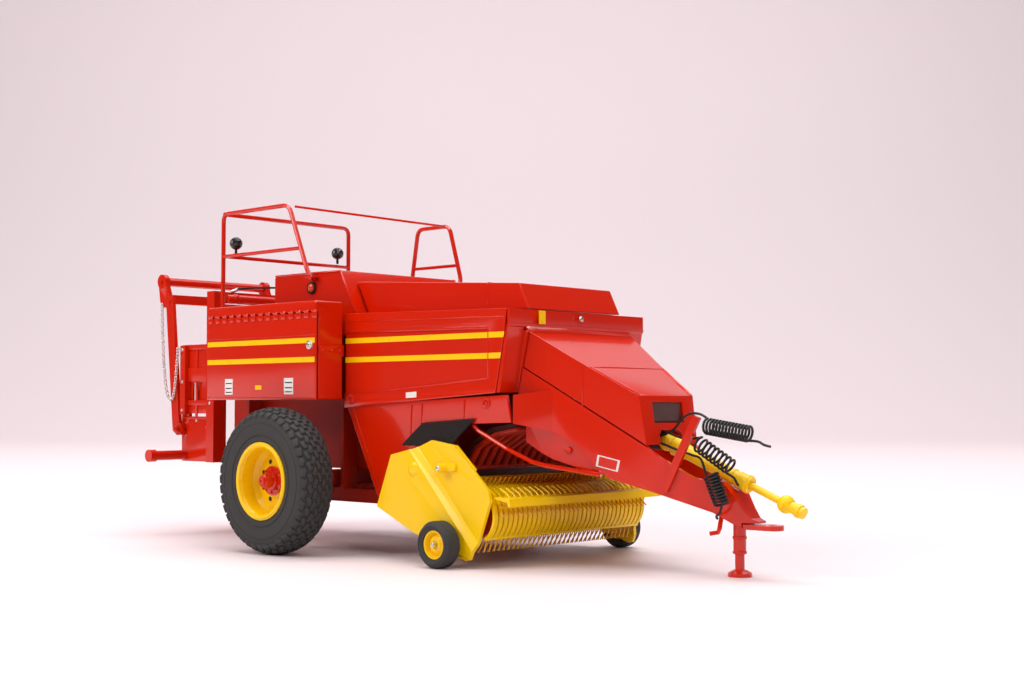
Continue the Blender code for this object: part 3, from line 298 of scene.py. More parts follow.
def sheet(shape, outline, low, high, edge=0.0, plane="XZ"):
    """A flat outline, given thickness from low to high across its plane."""
    first = [shape.verts.new(spot(plane, a, b, low)) for a, b in outline]
    face = shape.faces.new(first)
    raised = bmesh.ops.extrude_face_region(shape, geom=[face])["geom"]
    second = verts_of(raised)
    bmesh.ops.translate(shape, vec=spot(plane, 0, 0, high) - spot(plane, 0, 0, low), verts=second)
    shape.edges.index_update()
    rounded(shape, first + second, edge)


def rod(shape, start, end, radius, end_radius=None, sides=16, edge=0.0):
    a, b = at(*start), at(*end)
    verts = bmesh.ops.create_cone(
        shape, cap_ends=True, segments=sides, radius1=radius * MM,
        radius2=(radius if end_radius is None else end_radius) * MM, depth=(b - a).length,
    )["verts"]
    turn = Vector((0, 0, 1)).rotation_difference(b - a).to_matrix().to_4x4()
    bmesh.ops.transform(shape, matrix=Matrix.Translation((a + b) / 2) @ turn, verts=verts)
    shape.edges.index_update()
    rounded(shape, verts, edge, 2, 0.9)


def rivet(shape, centre, side, radius=0.45, high=0.3, sides=14):
    x, y, z = centre
    rod(
        shape, (x, y - side * 0.05, z), (x, y + side * high, z), radius, radius * 0.75, sides, edge=high * 0.4
    )


def bent_rod(shape, points, radius, sides=8):
    """A rod that bends at each point, from a ring drawn along the line."""
    places = [at(*p) for p in points]
    along = (places[1] - places[0]).normalized()
    ring = bmesh.ops.create_circle(shape, cap_ends=True, radius=radius * MM, segments=sides)["verts"]
    turn = Vector((0, 0, 1)).rotation_difference(along).to_matrix().to_4x4()
    bmesh.ops.transform(shape, matrix=Matrix.Translation(places[0]) @ turn, verts=ring)
    face = ring[0].link_faces[0]
    for i in range(1, len(places)):
        after = (
            places[min(i + 1, len(places) - 1)] - places[i]
        ).normalized() if i + 1 < len(places) else along
        before = (places[i] - places[i - 1]).normalized()
        mean = (before + after).normalized()
        raised = bmesh.ops.extrude_face_region(shape, geom=[face])["geom"]
        verts = verts_of(raised)
        old = face
        face = next(f for f in raised if isinstance(f, bmesh.types.BMFace))
        if i > 1:
            bmesh.ops.delete(shape, geom=[old], context="FACES_ONLY")
        middle = sum((v.co for v in verts), Vector()) / len(verts)
        swing = along.rotation_difference(mean).to_matrix().to_4x4()
        move = Matrix.Translation(places[i]) @ swing @ Matrix.Translation(-middle)
        bmesh.ops.transform(shape, matrix=move, verts=verts)
        along = mean


def turned(shape, profile, centre, axis=(0, 1, 0), steps=48, closed=True):
    """A profile of (radius, offset) turned once about an axis through the centre."""
    axis = Vector(axis).normalized()
    out = axis.orthogonal().normalized()
    if abs(axis.y) > 0.9:
        out = Vector((1, 0, 0))
    middle = at(*centre)
    verts = [shape.verts.new(middle + axis * o * MM + out * r * MM) for r, o in profile]
    pairs = list(zip(verts, verts[1:]))
    if closed:
        pairs.append((verts[-1], verts[0]))
    edges = [shape.edges.new(pair) for pair in pairs]
    spin(shape, verts + edges, middle, axis, steps)


def band(inner, outer, half, flat):
    """The profile of a raised ring for turned."""
    return [(inner, -half), (outer, -flat), (outer, flat), (inner, half)]


def arc(centre, radius, start, end, steps):
    for i in range(steps + 1):
        angle = math.radians(start + (end - start) * i / steps)
        yield centre[0] + radius * math.cos(angle), centre[1] + radius * math.sin(angle)


def piece(name, shape, paint, body, smooth=25, replaces=(), merge=True):
    """Makes the shape a finished object that rides on a body of the frame."""
    if merge:
        bmesh.ops.remove_doubles(shape, verts=shape.verts[:], dist=1e-6)
    bmesh.ops.recalc_face_normals(shape, faces=shape.faces[:])
    mesh = bpy.data.meshes.new(name)
    shape.to_mesh(mesh)
    shape.free()
    mesh.materials.append(finish(paint))
    mesh.shade_smooth()
    mesh.set_sharp_from_angle(angle=math.radians(smooth))
    made = bpy.data.objects.new(name, mesh)
    bpy.context.scene.collection.objects.link(made)
    if body:
        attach(made, body)
    if replaces:
        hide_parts(*replaces)
    return made


# Stage


def make_camera():
    ahead = Vector((-math.cos(VIEW_YAW), math.sin(VIEW_YAW), 0)) * math.cos(VIEW_PITCH)
    ahead.z = math.sin(VIEW_PITCH)
    across = Vector((math.sin(VIEW_YAW), math.cos(VIEW_YAW), 0))
    up = across.cross(ahead)
    data = bpy.data.cameras.new("camera")
    data.sensor_width = 36
    data.lens = 50.97
    data.clip_start = 0.01
    camera = bpy.data.objects.new("camera", data)
    turn = Matrix((across, up, -ahead)).transposed().to_4x4()
    camera.matrix_world = Matrix.Translation((0.2841, -0.2831, 0.040)) @ turn
    bpy.context.scene.collection.objects.link(camera)
    bpy.context.scene.camera = camera
    bpy.context.scene.view_settings.view_transform = "Standard"


def lamp(name, place, aim, size, power, tint=(1, 1, 1)):
    data = bpy.data.lights.new(name, "AREA")
    data.shape = "RECTANGLE"
    data.size, data.size_y = size
    data.energy = power
    data.color = tint
    made = bpy.data.objects.new(name, data)
    made.location = place
    made.rotation_euler = (Vector(aim) - Vector(place)).to_track_quat("-Z", "Y").to_euler()
    bpy.context.scene.collection.objects.link(made)


def make_stage():
    world = bpy.data.worlds.new("studio")
    world.use_nodes = True
    sky = world.node_tree.nodes["Background"].inputs
    sky["Color"].default_value = (1.0, 0.93, 0.95, 1)
    sky["Strength"].default_value = 0.10
    bpy.context.scene.world = world
    ahead = Vector((-math.cos(VIEW_YAW), math.sin(VIEW_YAW), 0))
    across = Vector((math.sin(VIEW_YAW), math.cos(VIEW_YAW), 0))
    # the floor runs back under the model, bends up and ends as a wall
    shape = bmesh.new()
    start, bend_at, bend, top, half = -6.0, 1.1, 0.9, 2.6, 6
    profile = [(start, 0.0), (bend_at, 0.0)]
    for i in range(1, 21):
        angle = math.pi / 40 * i
        profile.append((bend_at + bend * math.sin(angle), bend - bend * math.cos(angle)))
    profile.append((bend_at + bend, top))
    verts = [shape.verts.new(ahead * s + Vector((0, 0, z)) - across * half) for s, z in profile]
    edges = [shape.edges.new(pair) for pair in zip(verts, verts[1:])]
    raised = bmesh.ops.extrude_edge_only(shape, edges=edges)["geom"]
    second = verts_of(raised)
    bmesh.ops.translate(shape, vec=across * 2 * half, verts=second)
    floor = piece("floor", shape, "pale_floor", None, smooth=60)
    lamp("overhead_softbox", (0.05, 0.05, 1.15), (-0.02, 0, 0), (1.6, 1.2), 11.5)
    lamp("left_softbox", (-0.45, -1.05, 0.85), (0, 0, 0.04), (0.8, 0.7), 11, (1, 0.94, 0.88))
    lamp("right_softbox", (1.15, -0.25, 0.75), (0, 0, 0.04), (0.7, 0.7), 5.5, (1, 0.97, 0.94))
    lamp("backdrop_light", (-0.35, 0.4, 2.3), (-1.15, 1.25, 0.35), (2.6, 0.9), 39, (1, 0.95, 0.97))


# Hoses


def through(points, spacing):
    """A smooth line through the points."""
    line = []
    last = len(points) - 1
    for i in range(last):
        before, a, b, after = points[max(i - 1, 0)], points[i], points[i + 1], points[min(i + 2, last)]
        steps = max(2, int((b - a).length / spacing))
        for k in range(steps):
            t = k / steps
            bend = 2 * before - 5 * a + 4 * b - after
            twist = 3 * a - before - 3 * b + after
            line.append(0.5 * (2 * a + (b - before) * t + bend * t * t + twist * t**3))
    return line + [points[-1]]


def hose_line(lead, coil, tail):
    """The lead, then turns about the coil's axis, then the tail, as one line."""
    start, end, radius, turns = coil
    a, b = at(*start), at(*end)
    along = (b - a).normalized()
    first = at(*lead[-1]) - a
    first = (first - along * first.dot(along)).normalized()
    second = along.cross(first)
    count = int(turns * 20)
    turn = []
    for i in range(count + 1):
        t = i / count
        angle = 2 * math.pi * turns * t
        turn.append(a + (b - a) * t + radius * MM * (math.cos(angle) * first + math.sin(angle) * second))
    before = [at(*p) for p in lead[:-1]] + [turn[0]]
    after = [turn[-1]] + [at(*p) for p in tail]
    return through(before, 0.5 * MM)[:-1] + turn[:-1] + through(after, 0.5 * MM)


HOSES = {
    1: (
        [
            (97.4, -2.9, 31.9), (100.4, -3.4, 32.6), (103.7, -4.4, 33.9), (106.7, -5.6, 36.0),
            (109.5, -6.3, 37.5), (112.6, -6.6, 37.5), (114.2, -6.6, 36.6),
        ],
        ((114.6, -6.6, 34.7), (126.4, -6.6, 33.0), 1.75, 13.4),
        [(128.3, -6.4, 31.4), (129.8, -6.3, 30.7), (131.5, -6.2, 30.3)],
    ),
    2: (
        [
            (97.4, -1.6, 33.1), (100.6, -2.6, 32.9), (104.8, -4.0, 32.0), (108.4, -5.2, 31.6),
            (111.0, -6.0, 32.3),
        ],
        ((111.9, -6.1, 30.6), (121.0, -6.1, 25.3), 1.75, 8.4),
        [(121.7, -6.1, 23.0), (122.3, -6.1, 22.0), (122.9, -6.1, 21.3)],
    ),
    3: (
        [
            (97.6, -4.0, 31.0), (101.2, -4.2, 30.0), (105.0, -4.5, 28.9), (109.5, -5.4, 27.9),
            (113.2, -7.0, 27.0), (114.8, -7.8, 25.8),
        ],
        ((116.6, -8.0, 23.7), (119.6, -8.0, 16.9), 1.65, 9.6),
        [(118.6, -7.4, 15.0), (117.3, -6.4, 14.4), (116.4, -5.6, 14.0), (116.3, -5.0, 13.4)],
    ),
}


def make_hoses():
    radius = bpy.context.scene.baler_sizes.hose_radius
    for number, route in HOSES.items():
        line = hose_line(*route)
        data = bpy.data.curves.new(f"hose_{number}", "CURVE")
        data.dimensions = "3D"
        data.bevel_depth = radius
        data.bevel_resolution = 2
        data.use_fill_caps = True
        spline = data.splines.new("POLY")
        spline.points.add(len(line) - 1)
        for point, place in zip(spline.points, line):
            point.co = (*place, 1)
        data.materials.append(finish("hose_rubber"))
        made = bpy.data.objects.new(f"hose_{number}", data)
        bpy.context.scene.collection.objects.link(made)
        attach(made, "frame")
        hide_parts(f"hose_lead_{number}", f"hose_coil_{number}", f"hose_tail_{number}")


# Panels


def make_finishes():
    """Gives every shape of the frame the finish that its slot names."""
    slot_of = {row["node"]: row["material_slot"] for row in frame["record"]["subparts"]}
    edge = bpy.context.scene.baler_sizes.edge / MM
    round_nodes = {
        "twine_box_": edge, "twine_box_door_": edge, "knotter_cover": 0.3, "top_hood": 0.3,
        "side_panel_": edge, "lower_panel_": 0.15, "front_cowl": edge, "gearbox_hood": 0.3, "drawbar": 0.25,
        "pickup_side_": 0.15, "pickup_windguard": 0.1, "rear_frame": 0.15, "bale_chute": 0.2,
        "hitch_plate": 0.2, "chassis_frame": 0.2,
    }
    for node, slot in slot_of.items():
        solid = bpy.data.objects[node]
        solid.data.materials.clear()
        # the chamber, the axle and the chassis take a red darkened as painted shade
        paint = "chamber_red" if node in ("bale_chamber", "axle_beam", "chassis_frame") else SLOT_FINISH[slot]
        solid.data.materials.append(finish(paint))
        width = round_nodes.get(node.removesuffix("right").removesuffix("left"))
        if width is None:
            continue
        shape = bmesh.new()
        shape.from_mesh(solid.data)
        bmesh.ops.remove_doubles(shape, verts=shape.verts[:], dist=2e-6)
        bmesh.ops.dissolve_limit(shape, angle_limit=0.01, verts=shape.verts[:], edges=shape.edges[:])
        shape.edges.index_update()
        rounded(shape, shape.verts[:], width, 2, 0.45)
        piece(node + "_shell", shape, paint, body_of(solid)[0], 20, [node], merge=False)


def make_box_trim():
    thick = bpy.context.scene.baler_sizes.stripe_thick / MM
    for side, name in SIDES:
        door = "twine_door_" + name
        face = side * BOX_OUT
        proud = face + side * thick
        near, far = min(face, proud), max(face, proud)
        labels = ((-29.5, -25.9), (-2.9, 1.0))
        shape = bmesh.new()
        for low, high in STRIPES:
            sheet(shape, oblong(-37.9, low, 9.9, high), face - side * 0.02, proud)
        piece("box_stripes_" + name, shape, "stripe_yellow", door)
        shape = bmesh.new()
        for x0, x1 in labels:
            box(shape, (x0, near, 42.4), (x1, far, 46.8), 0.0)
        piece("box_labels_" + name, shape, "white_label", door)
        shape = bmesh.new()
        for x0, x1 in labels:
            for low in (42.9, 44.0, 45.4):
                box(shape, (x0 + 0.4, near, low), (x1 - 0.4, far + 0.02, low + 0.3), 0.0)
        piece("box_label_prints_" + name, shape, "label_grey", door)
        shape = bmesh.new()
        box(shape, (-15.6, near, 43.7), (-12.8, far, 44.9), 0.0)
        piece("box_sticker_" + name, shape, "stripe_yellow", door)
        shape = bmesh.new()
        # hinge knuckles along the door's top, each with its leaf
        pin = face + side * 0.05
        for k in range(15):
            x0 = -37.2 + 3.3 * k
            x1 = x0 + 1.9
            rod(shape, (x0, pin, HINGE_Z), (x1, pin, HINGE_Z), 0.45, sides=12, edge=0.08)
            leaf = [(x0, 62.9), (x0 + 0.3, 62.6), (x1 - 0.3, 62.6), (x1, 62.9), (x1, HINGE_Z), (x0, HINGE_Z)]
            sheet(shape, leaf, face - side * 0.02, face + side * 0.22, 0.06)
        piece("box_hinge_" + name, shape, "gloss_red", door)
        shape = bmesh.new()
        x, z = 8.0, 55.5
        rod(shape, (x, face - side * 0.1, z), (x, face + side * 0.55, z), 1.25, 1.15, 28, 0.12)
        rod(shape, (x, face + side * 0.5, z), (x, face + side * 0.85, z), 0.75, 0.6, 20, 0.1)
        box(shape, (x - 0.25, face + side * 0.8, z - 0.6), (x + 0.25, face + side * 1.05, z + 0.6), 0.08)
        piece("box_latch_" + name, shape, "bright_steel", door)
        shape = bmesh.new()
        sheet(shape, oblong(-37.8, 58.0, 9.8, 58.25), face, face + side * 0.1, 0.04)
        sheet(shape, oblong(-37.9, 41.3, 9.9, 41.6), face, face + side * 0.12, 0.05)
        piece("box_door_bead_" + name, shape, "gloss_red", door)
        shape = bmesh.new()
        inner, outer = side * 26.9, side * 35.4
        sheet(shape, [(inner, 52.5), (outer, 52.9), (outer, 55.2), (inner, 55.6)], 10.15, 10.55, 0.08, "YZ")
        for y in (28.2, 31.0, 34.2):
            rod(shape, (10.4, side * y, 54.0), (10.85, side * y, 54.0), 0.5, 0.4, 14, 0.08)
        piece("box_strap_" + name, shape, "gloss_red", "frame")


def make_side_trim():
    thick = bpy.context.scene.baler_sizes.stripe_thick / MM
    for side, name in SIDES:
        floor_y, face = side * (BODY_HALF - 0.25), side * BODY_HALF
        shape = bmesh.new()
        for (low, high), slant in zip(STRIPES, (68.2, 69.3)):
            sheet(shape, oblong(10.5, low, 63.85, high), floor_y, floor_y + side * thick)
            sheet(
                shape, [(63.95, low), (slant - 0.3, low), (slant, high), (63.95, high)], face,
                face + side * thick,
            )
        piece("side_stripes_" + name, shape, "stripe_yellow", "frame")
        shape = bmesh.new()
        # raised beads that frame the pressing
        sheet(
            shape, [(10.6, 58.9), (63.9, 58.2), (63.9, 58.9), (10.6, 59.6)], floor_y, face + side * 0.12, 0.07
        )
        sheet(
            shape, [(10.6, 42.0), (63.8, 45.8), (63.8, 46.2), (10.6, 42.5)], floor_y, face + side * 0.08, 0.06
        )
        sheet(shape, oblong(63.7, 46.0, 64.0, 58.6), floor_y, face + side * 0.08, 0.06)
        piece("side_bead_" + name, shape, "gloss_red", "frame")
        shape = bmesh.new()
        for x, z, y in ((12.9, 41.0, BODY_HALF), (62.7, 40.0, BODY_HALF - 0.6)):
            place = (x, side * y, z)
            turned(
                shape, [(0.75, -0.1), (0.75, 0.22), (0.95, 0.34), (1.2, 0.34), (1.38, 0.2), (1.38, -0.1)],
                place, (0, side, 0), 28,
            )
            rod(shape, (x, side * (y - 0.05), z), (x, side * (y + 0.18), z), 0.6, 0.5, 18, 0.05)
        piece("side_fasteners_" + name, shape, "frame_red", "frame")
        shape = bmesh.new()
        sheet(
            shape, [(34.6, 42.75), (38.5, 42.95), (38.5, 41.5), (34.6, 41.3)], face - side * 0.02,
            face + side * (thick + 0.02),
        )
        piece("side_label_" + name, shape, "white_label", "frame")
        shape = bmesh.new()
        sheet(
            shape, [(36.0, 59.7), (62.0, 59.4), (62.0, 59.65), (36.0, 59.95)], face, face + side * 0.1, 0.05
        )
        sheet(
            shape, [(10.6, 61.9), (69.4, 60.9), (69.4, 61.15), (10.6, 62.15)], face, face + side * 0.12, 0.06
        )
        piece("side_crease_" + name, shape, "gloss_red", "frame")
        # a skirt that closes the side panel over the lower one
        shape = bmesh.new()
        sheet(
            shape, [(10.4, 38.8), (66.2, 42.5), (66.3, 43.1), (10.4, 40.9)], side * (BODY_HALF - 0.5),
            face + side * 0.01, 0.04,
        )
        piece("side_skirt_" + name, shape, "gloss_red", "frame")
        # the lower panel's folded seams
        shape = bmesh.new()
        y0, y1 = side * (BODY_HALF - 0.65), side * (BODY_HALF - 0.42)
        for x, low, high in ((35.5, 31.0, 39.6), (39.4, 34.6, 40.0), (54.6, 35.4, 40.8)):
            sheet(shape, [(x, low), (x + 0.4, low), (x + 0.9, high), (x + 0.5, high)], y0, y1, 0.05)
        border = [(13.4, 38.7), (24.0, 17.3), (36.2, 17.6)]
        for a, b in zip(border, border[1:]):
            out = (Vector(b) - Vector(a)).normalized() * 0.16
            out = Vector((out.y, -out.x))
            strip = [Vector(a) + out, Vector(b) + out, Vector(b) - out, Vector(a) - out]
            sheet(shape, strip, y0, y1, 0.05)
        piece("lower_panel_seams_" + name, shape, "gloss_red", "frame")


def make_wheels():
    rows = (-4.55, -3.25, -1.95, -0.65, 0.65, 1.95, 3.25, 4.55)
    lug = (2.45 * MM, 1.28 * MM, 0.8 * MM)
    holes, bolts = 5.3, 3.1  # how far the rim's holes and the hub's bolts stand from the wheel's middle
    count = bpy.context.scene.baler_sizes.lugs
    for side, name in SIDES:
        low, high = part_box("main_tyre_" + name)
        centre = Vector([(a + b) / 2 for a, b in zip(low, high)])
        middle = (centre.x / MM - AXLE_X, centre.y / MM, centre.z / MM)
        radius = (high[2] - low[2]) / 2 / MM
        half = (high[1] - low[1]) / 2 / MM
        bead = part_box("main_rim_" + name)
        bead = (bead[1][2] - bead[0][2]) / 2 / MM - 0.55
        shape = bmesh.new()

        def crown(offset, top=radius - 0.5):
            return top - (abs(offset) / half) ** 3.2 * 2.2

        edge = [
            (bead, half * 0.80), (bead + 0.25, half * 0.90), (bead + 1.0, half * 0.94),
            (bead + 1.3, half * 0.97), ((bead + radius) / 2, half), (radius - 3.6, half * 0.99),
            (radius - 2.7, half * 0.95),
        ]
        top = [(crown(half * k / 10), half * k / 10) for k in (9, 8, 7, 5.5, 4, 2, 0)]
        profile = edge + top + [(r, -o) for r, o in reversed(edge + top[:-1])]
        turned(shape, profile, middle, steps=96)
        # moulded rings on the sidewall
        for ring in (bead + 2.2, bead + 5.6):
            for wall in (-1, 1):
                foot, top = wall * half * 0.9, wall * (half + 0.1) * 0.995
                turned(shape, [(ring - 0.2, foot), (ring, top), (ring + 0.2, foot)], middle, steps=72)
        axis = at(*middle)
        for row, offset in enumerate(rows):
            out = crown(offset)
            rise = crown(abs(offset) + 0.05) - crown(abs(offset) - 0.05)
            slope = math.atan2(rise, 0.1) * (1 if offset > 0 else -1)
            for k in range(count):
                angle = 2 * math.pi * (k + 0.5 * (row % 2)) / count
                verts = bmesh.ops.create_cube(shape, size=1)["verts"]
                upper = [v for v in verts if v.co.z > 0]
                bmesh.ops.scale(shape, vec=(0.84, 0.84, 1), verts=upper)
                bmesh.ops.scale(shape, vec=lug, verts=verts)
                if abs(offset) > 4:
                    bmesh.ops.scale(shape, vec=(1.0, 1.25, 1), verts=verts)
                place = Matrix.Translation(axis) @ Matrix.Rotation(angle, 4, "Y")
                place = place @ Matrix.Translation((0, offset * MM, (out + 0.08) * MM))
                place = place @ Matrix.Rotation(slope, 4, "X")
                place = place @ Matrix.Rotation(0.3 * (1 if row % 2 else -1), 4, "Z")
                bmesh.ops.transform(shape, matrix=place, verts=verts)
                ends = {e for v in upper for e in v.link_edges}
                bevel(shape, sorted(ends, key=lambda e: (e.verts[0].co + e.verts[1].co).length), 0.22)
        body = "wheel_" + name
        piece(
            "tread_tyre_" + name, shape, "tyre_rubber", body, 35, ["main_tyre_" + name],
            merge=False,
        )
        face = middle[1]
        shape = bmesh.new()
        for k in range(8):
            angle = math.pi / 8 + math.pi / 4 * k
            x, z = holes * math.cos(angle), middle[2] + holes * math.sin(angle)
            outer = face - side * 0.2
            rod(shape, (x, outer, z), (x, outer + side * 0.3, z), 0.6, sides=18, edge=0.04)
        piece("rim_holes_" + name, shape, "matt_black", body, smooth=35)
        shape = bmesh.new()
        for k in range(8):
            angle = math.pi / 4 * k
            x, z = bolts * math.cos(angle), middle[2] + bolts * math.sin(angle)
            rod(shape, (x, face + side * 1.0, z), (x, face + side * 1.55, z), 0.34, 0.3, 6, 0.05)
        turned(
            shape, [(0.3, 4.2), (0.3, 4.75), (1.0, 4.75), (1.25, 4.5), (1.3, 4.2)], (0, face, middle[2]),
            (0, side, 0), 28,
        )
        piece("hub_bolts_" + name, shape, "frame_red", body, 35)
        shape = bmesh.new()
        turned(
            shape, [(9.0, 5.0), (9.3, 5.32), (9.75, 5.32), (10.0, 5.05), (9.75, 4.9), (9.3, 4.9)],
            (0, face, middle[2]), (0, side, 0), 72,
        )
        rod(
            shape, (7.0, face + side * 0.9, middle[2] - 5.6), (7.4, face + side * 2.9, middle[2] - 5.9), 0.22,
            0.18, 10, 0.04,
        )
        piece("rim_lip_" + name, shape, "gloss_yellow", body, 35)
        # gauge wheel: its bolt and the ribs of its tyre
        low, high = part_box("gauge_rim_" + name)
        gauge = [(a + b) / 2 / MM for a, b in zip(low, high)]
        outer = (low[1] if side < 0 else high[1]) / MM
        shape = bmesh.new()
        x, z = gauge[0] - AXLE_X, gauge[2]
        rod(shape, (x, outer - side * 0.4, z), (x, outer + side * 0.45, z), 0.8, 0.7, 6, 0.08)
        rod(shape, (x, outer + side * 0.4, z), (x, outer + side * 0.75, z), 0.45, 0.35, 14, 0.08)
        piece("gauge_bolt_" + name, shape, "bright_steel", "gauge_wheel_" + name, smooth=35)
        low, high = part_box("gauge_tyre_" + name)
        tyre_r = (high[2] - low[2]) / 2 / MM
        shape = bmesh.new()
        half = (high[1] - low[1]) / 2 / MM
        mid = (low[1] + high[1]) / 2 / MM
        for ring in (-0.45, 0.0, 0.45):
            place = (x, mid + ring * half, z)
            turned(shape, band(tyre_r - 0.35, tyre_r - 0.02, 0.42, 0.3), place, steps=48)
        piece("gauge_ribs_" + name, shape, "tyre_rubber", "gauge_wheel_" + name, 35)


# Pickup


def make_pickup():
    sizes = bpy.context.scene.baler_sizes
    half, inner, outer = 29.6, 6.5, 7.2
    pitch = 2 * half / sizes.bands
    wide = pitch * 0.72
    shape = bmesh.new()
    rim = list(arc(REEL, outer, 100, -50, 16))
    floor = list(arc(REEL, inner, -50, 100, 16))
    outline = [(53.2, 21.6), *rim, *floor, (53.2, 20.8)]
    for k in range(sizes.bands):
        y = -half + pitch * (k + 0.5)
        sheet(shape, outline, y - wide / 2, y + wide / 2)
    box(shape, (52.9, -half, 20.7), (54.6, half, 21.5), 0.12)
    end = list(arc(REEL, inner + 0.35, -50, -51, 1))[0]
    rod(shape, (end[0], -half, end[1]), (end[0], half, end[1]), 0.5, sides=12, edge=0.05)
    piece(
        "pickup_bands", shape, "satin_yellow", "pickup", 25, ["pickup_strippers"],
        merge=False,
    )
    # spring tines on four bars, each between two bands
    shape = bmesh.new()
    reach = sizes.tine_reach / MM
    for bar in range(4):
        for k in range(sizes.bands - 1):
            y = -half + pitch * (k + 1)
            angle = 45 + 90 * bar
            for lean in (30, 44):
                bends = [(4.6, angle), (6.6, angle - lean * 0.55), (reach, angle - lean)]
                points = [next(arc(REEL, radius, turn, turn, 1)) for radius, turn in bends]
                bent_rod(shape, [(x, y, z) for x, z in points], 0.18, 6)
    piece("pickup_tines", shape, "tine_yellow", "pickup_reel", 50, merge=False)
    for side, name in SIDES:
        face = side * 30.9
        rear = side * 32.2
        shape = bmesh.new()
        turned(
            shape, [(0.0, 0.35), (1.0, 0.35), (1.5, 0.2), (1.9, 0.0), (1.9, -0.2), (0.0, -0.2)],
            (43.3, rear, 23.5), (0, side, 0), 32, closed=False,
        )
        sheet(
            shape,
            [
                (50.2, 23.7), (50.6, 23.3), (57.2, 23.3), (57.6, 23.8), (57.4, 25.0), (57.0, 25.3),
                (50.6, 25.3), (50.2, 24.9),
            ],
            face - side * 0.05, face + side * 0.8, 0.15,
        )
        lip = [(56.4, 29.7), (63.0, 23.9), (62.7, 23.5), (56.0, 29.2)]
        sheet(shape, lip, side * 29.35, side * 30.1, 0.1)
        piece("pickup_side_details_" + name, shape, "gloss_yellow", "pickup", 30)
        shape = bmesh.new()
        rivet(shape, (53.6, side * 33.55, 24.0), side, 0.75, 0.4)
        rivet(shape, (60.2, face, 6.6), side, 0.45, 0.3)
        piece("pickup_bolts_" + name, shape, "bright_steel", "pickup", smooth=35)
    # a cross rod and a row of bent rods along the wind guard
    shape = bmesh.new()
    for k in range(27):
        y = -27.3 + 2.1 * k
        bent_rod(shape, [(72.6, y, 16.5), (70.9, y, 18.2), (68.4, y + 0.3, 19.4)], 0.2, 6)
    rod(shape, (72.9, -28.6, 16.9), (72.9, 28.6, 16.9), 0.42, sides=12, edge=0.05)
    piece("windguard_rods", shape, "satin_yellow", "pickup", 40, merge=False)


def make_intake():
    # the intake's body is painted near black, painted shade for the dark gaps between the ribs
    bpy.data.objects["feed_intake"].data.materials[0] = finish("intake_shade")
    shape = bmesh.new()
    rear = [(52.0, 23.5), (55.5, 29.4), (62.0, 32.9), (69.6, 34.1)]
    front = [(69.7, 33.2), (62.5, 31.9), (56.4, 28.6), (53.0, 23.5)]
    for k in range(15):
        y = -21.7 + 3.1 * k
        sheet(shape, rear + front, y - 0.85, y + 0.85, 0.15)
    piece("intake_ribs", shape, "intake_red", "frame")
    # the cross bar under the ribs' lower ends
    shape = bmesh.new()
    rod(shape, (52.6, -22.9, 23.9), (52.6, 22.9, 23.9), 0.7, sides=16, edge=0.08)
    piece("intake_bar", shape, "intake_red", "frame", 35)


def make_flaps():
    for side, name in SIDES:
        shape = bmesh.new()
        for k in range(5):
            t = (k + 0.5) / 5
            x, z = 40.7 + 18.8 * t, 34.5 + 1.3 * t
            rivet(shape, (x, side * 26.5, z), side, 0.34, 0.3, 12)
        piece("flap_rivets_" + name, shape, "bright_steel", "frame", smooth=35)
        # rubber fingers over the flap, cut to slightly different lengths
        shape = bmesh.new()
        count = 22
        for k in range(count):
            t = (k + 0.5) / count
            top = Vector((40.9 + 18.4 * t, side * 26.55, 34.9 + 1.2 * t))
            low = Vector((36.6 + 16.8 * t, side * 29.75, 29.3 - 0.3 * t))
            end = top.lerp(low, 0.97 if k % 3 else 1.0)
            middle = top.lerp(low, 0.5) + Vector((0, side * 0.08, 0))
            bent_rod(shape, [top, middle, end], 0.3, 6)
        piece("flap_fingers_" + name, shape, "hose_rubber", "frame", 50, merge=False)


# Front


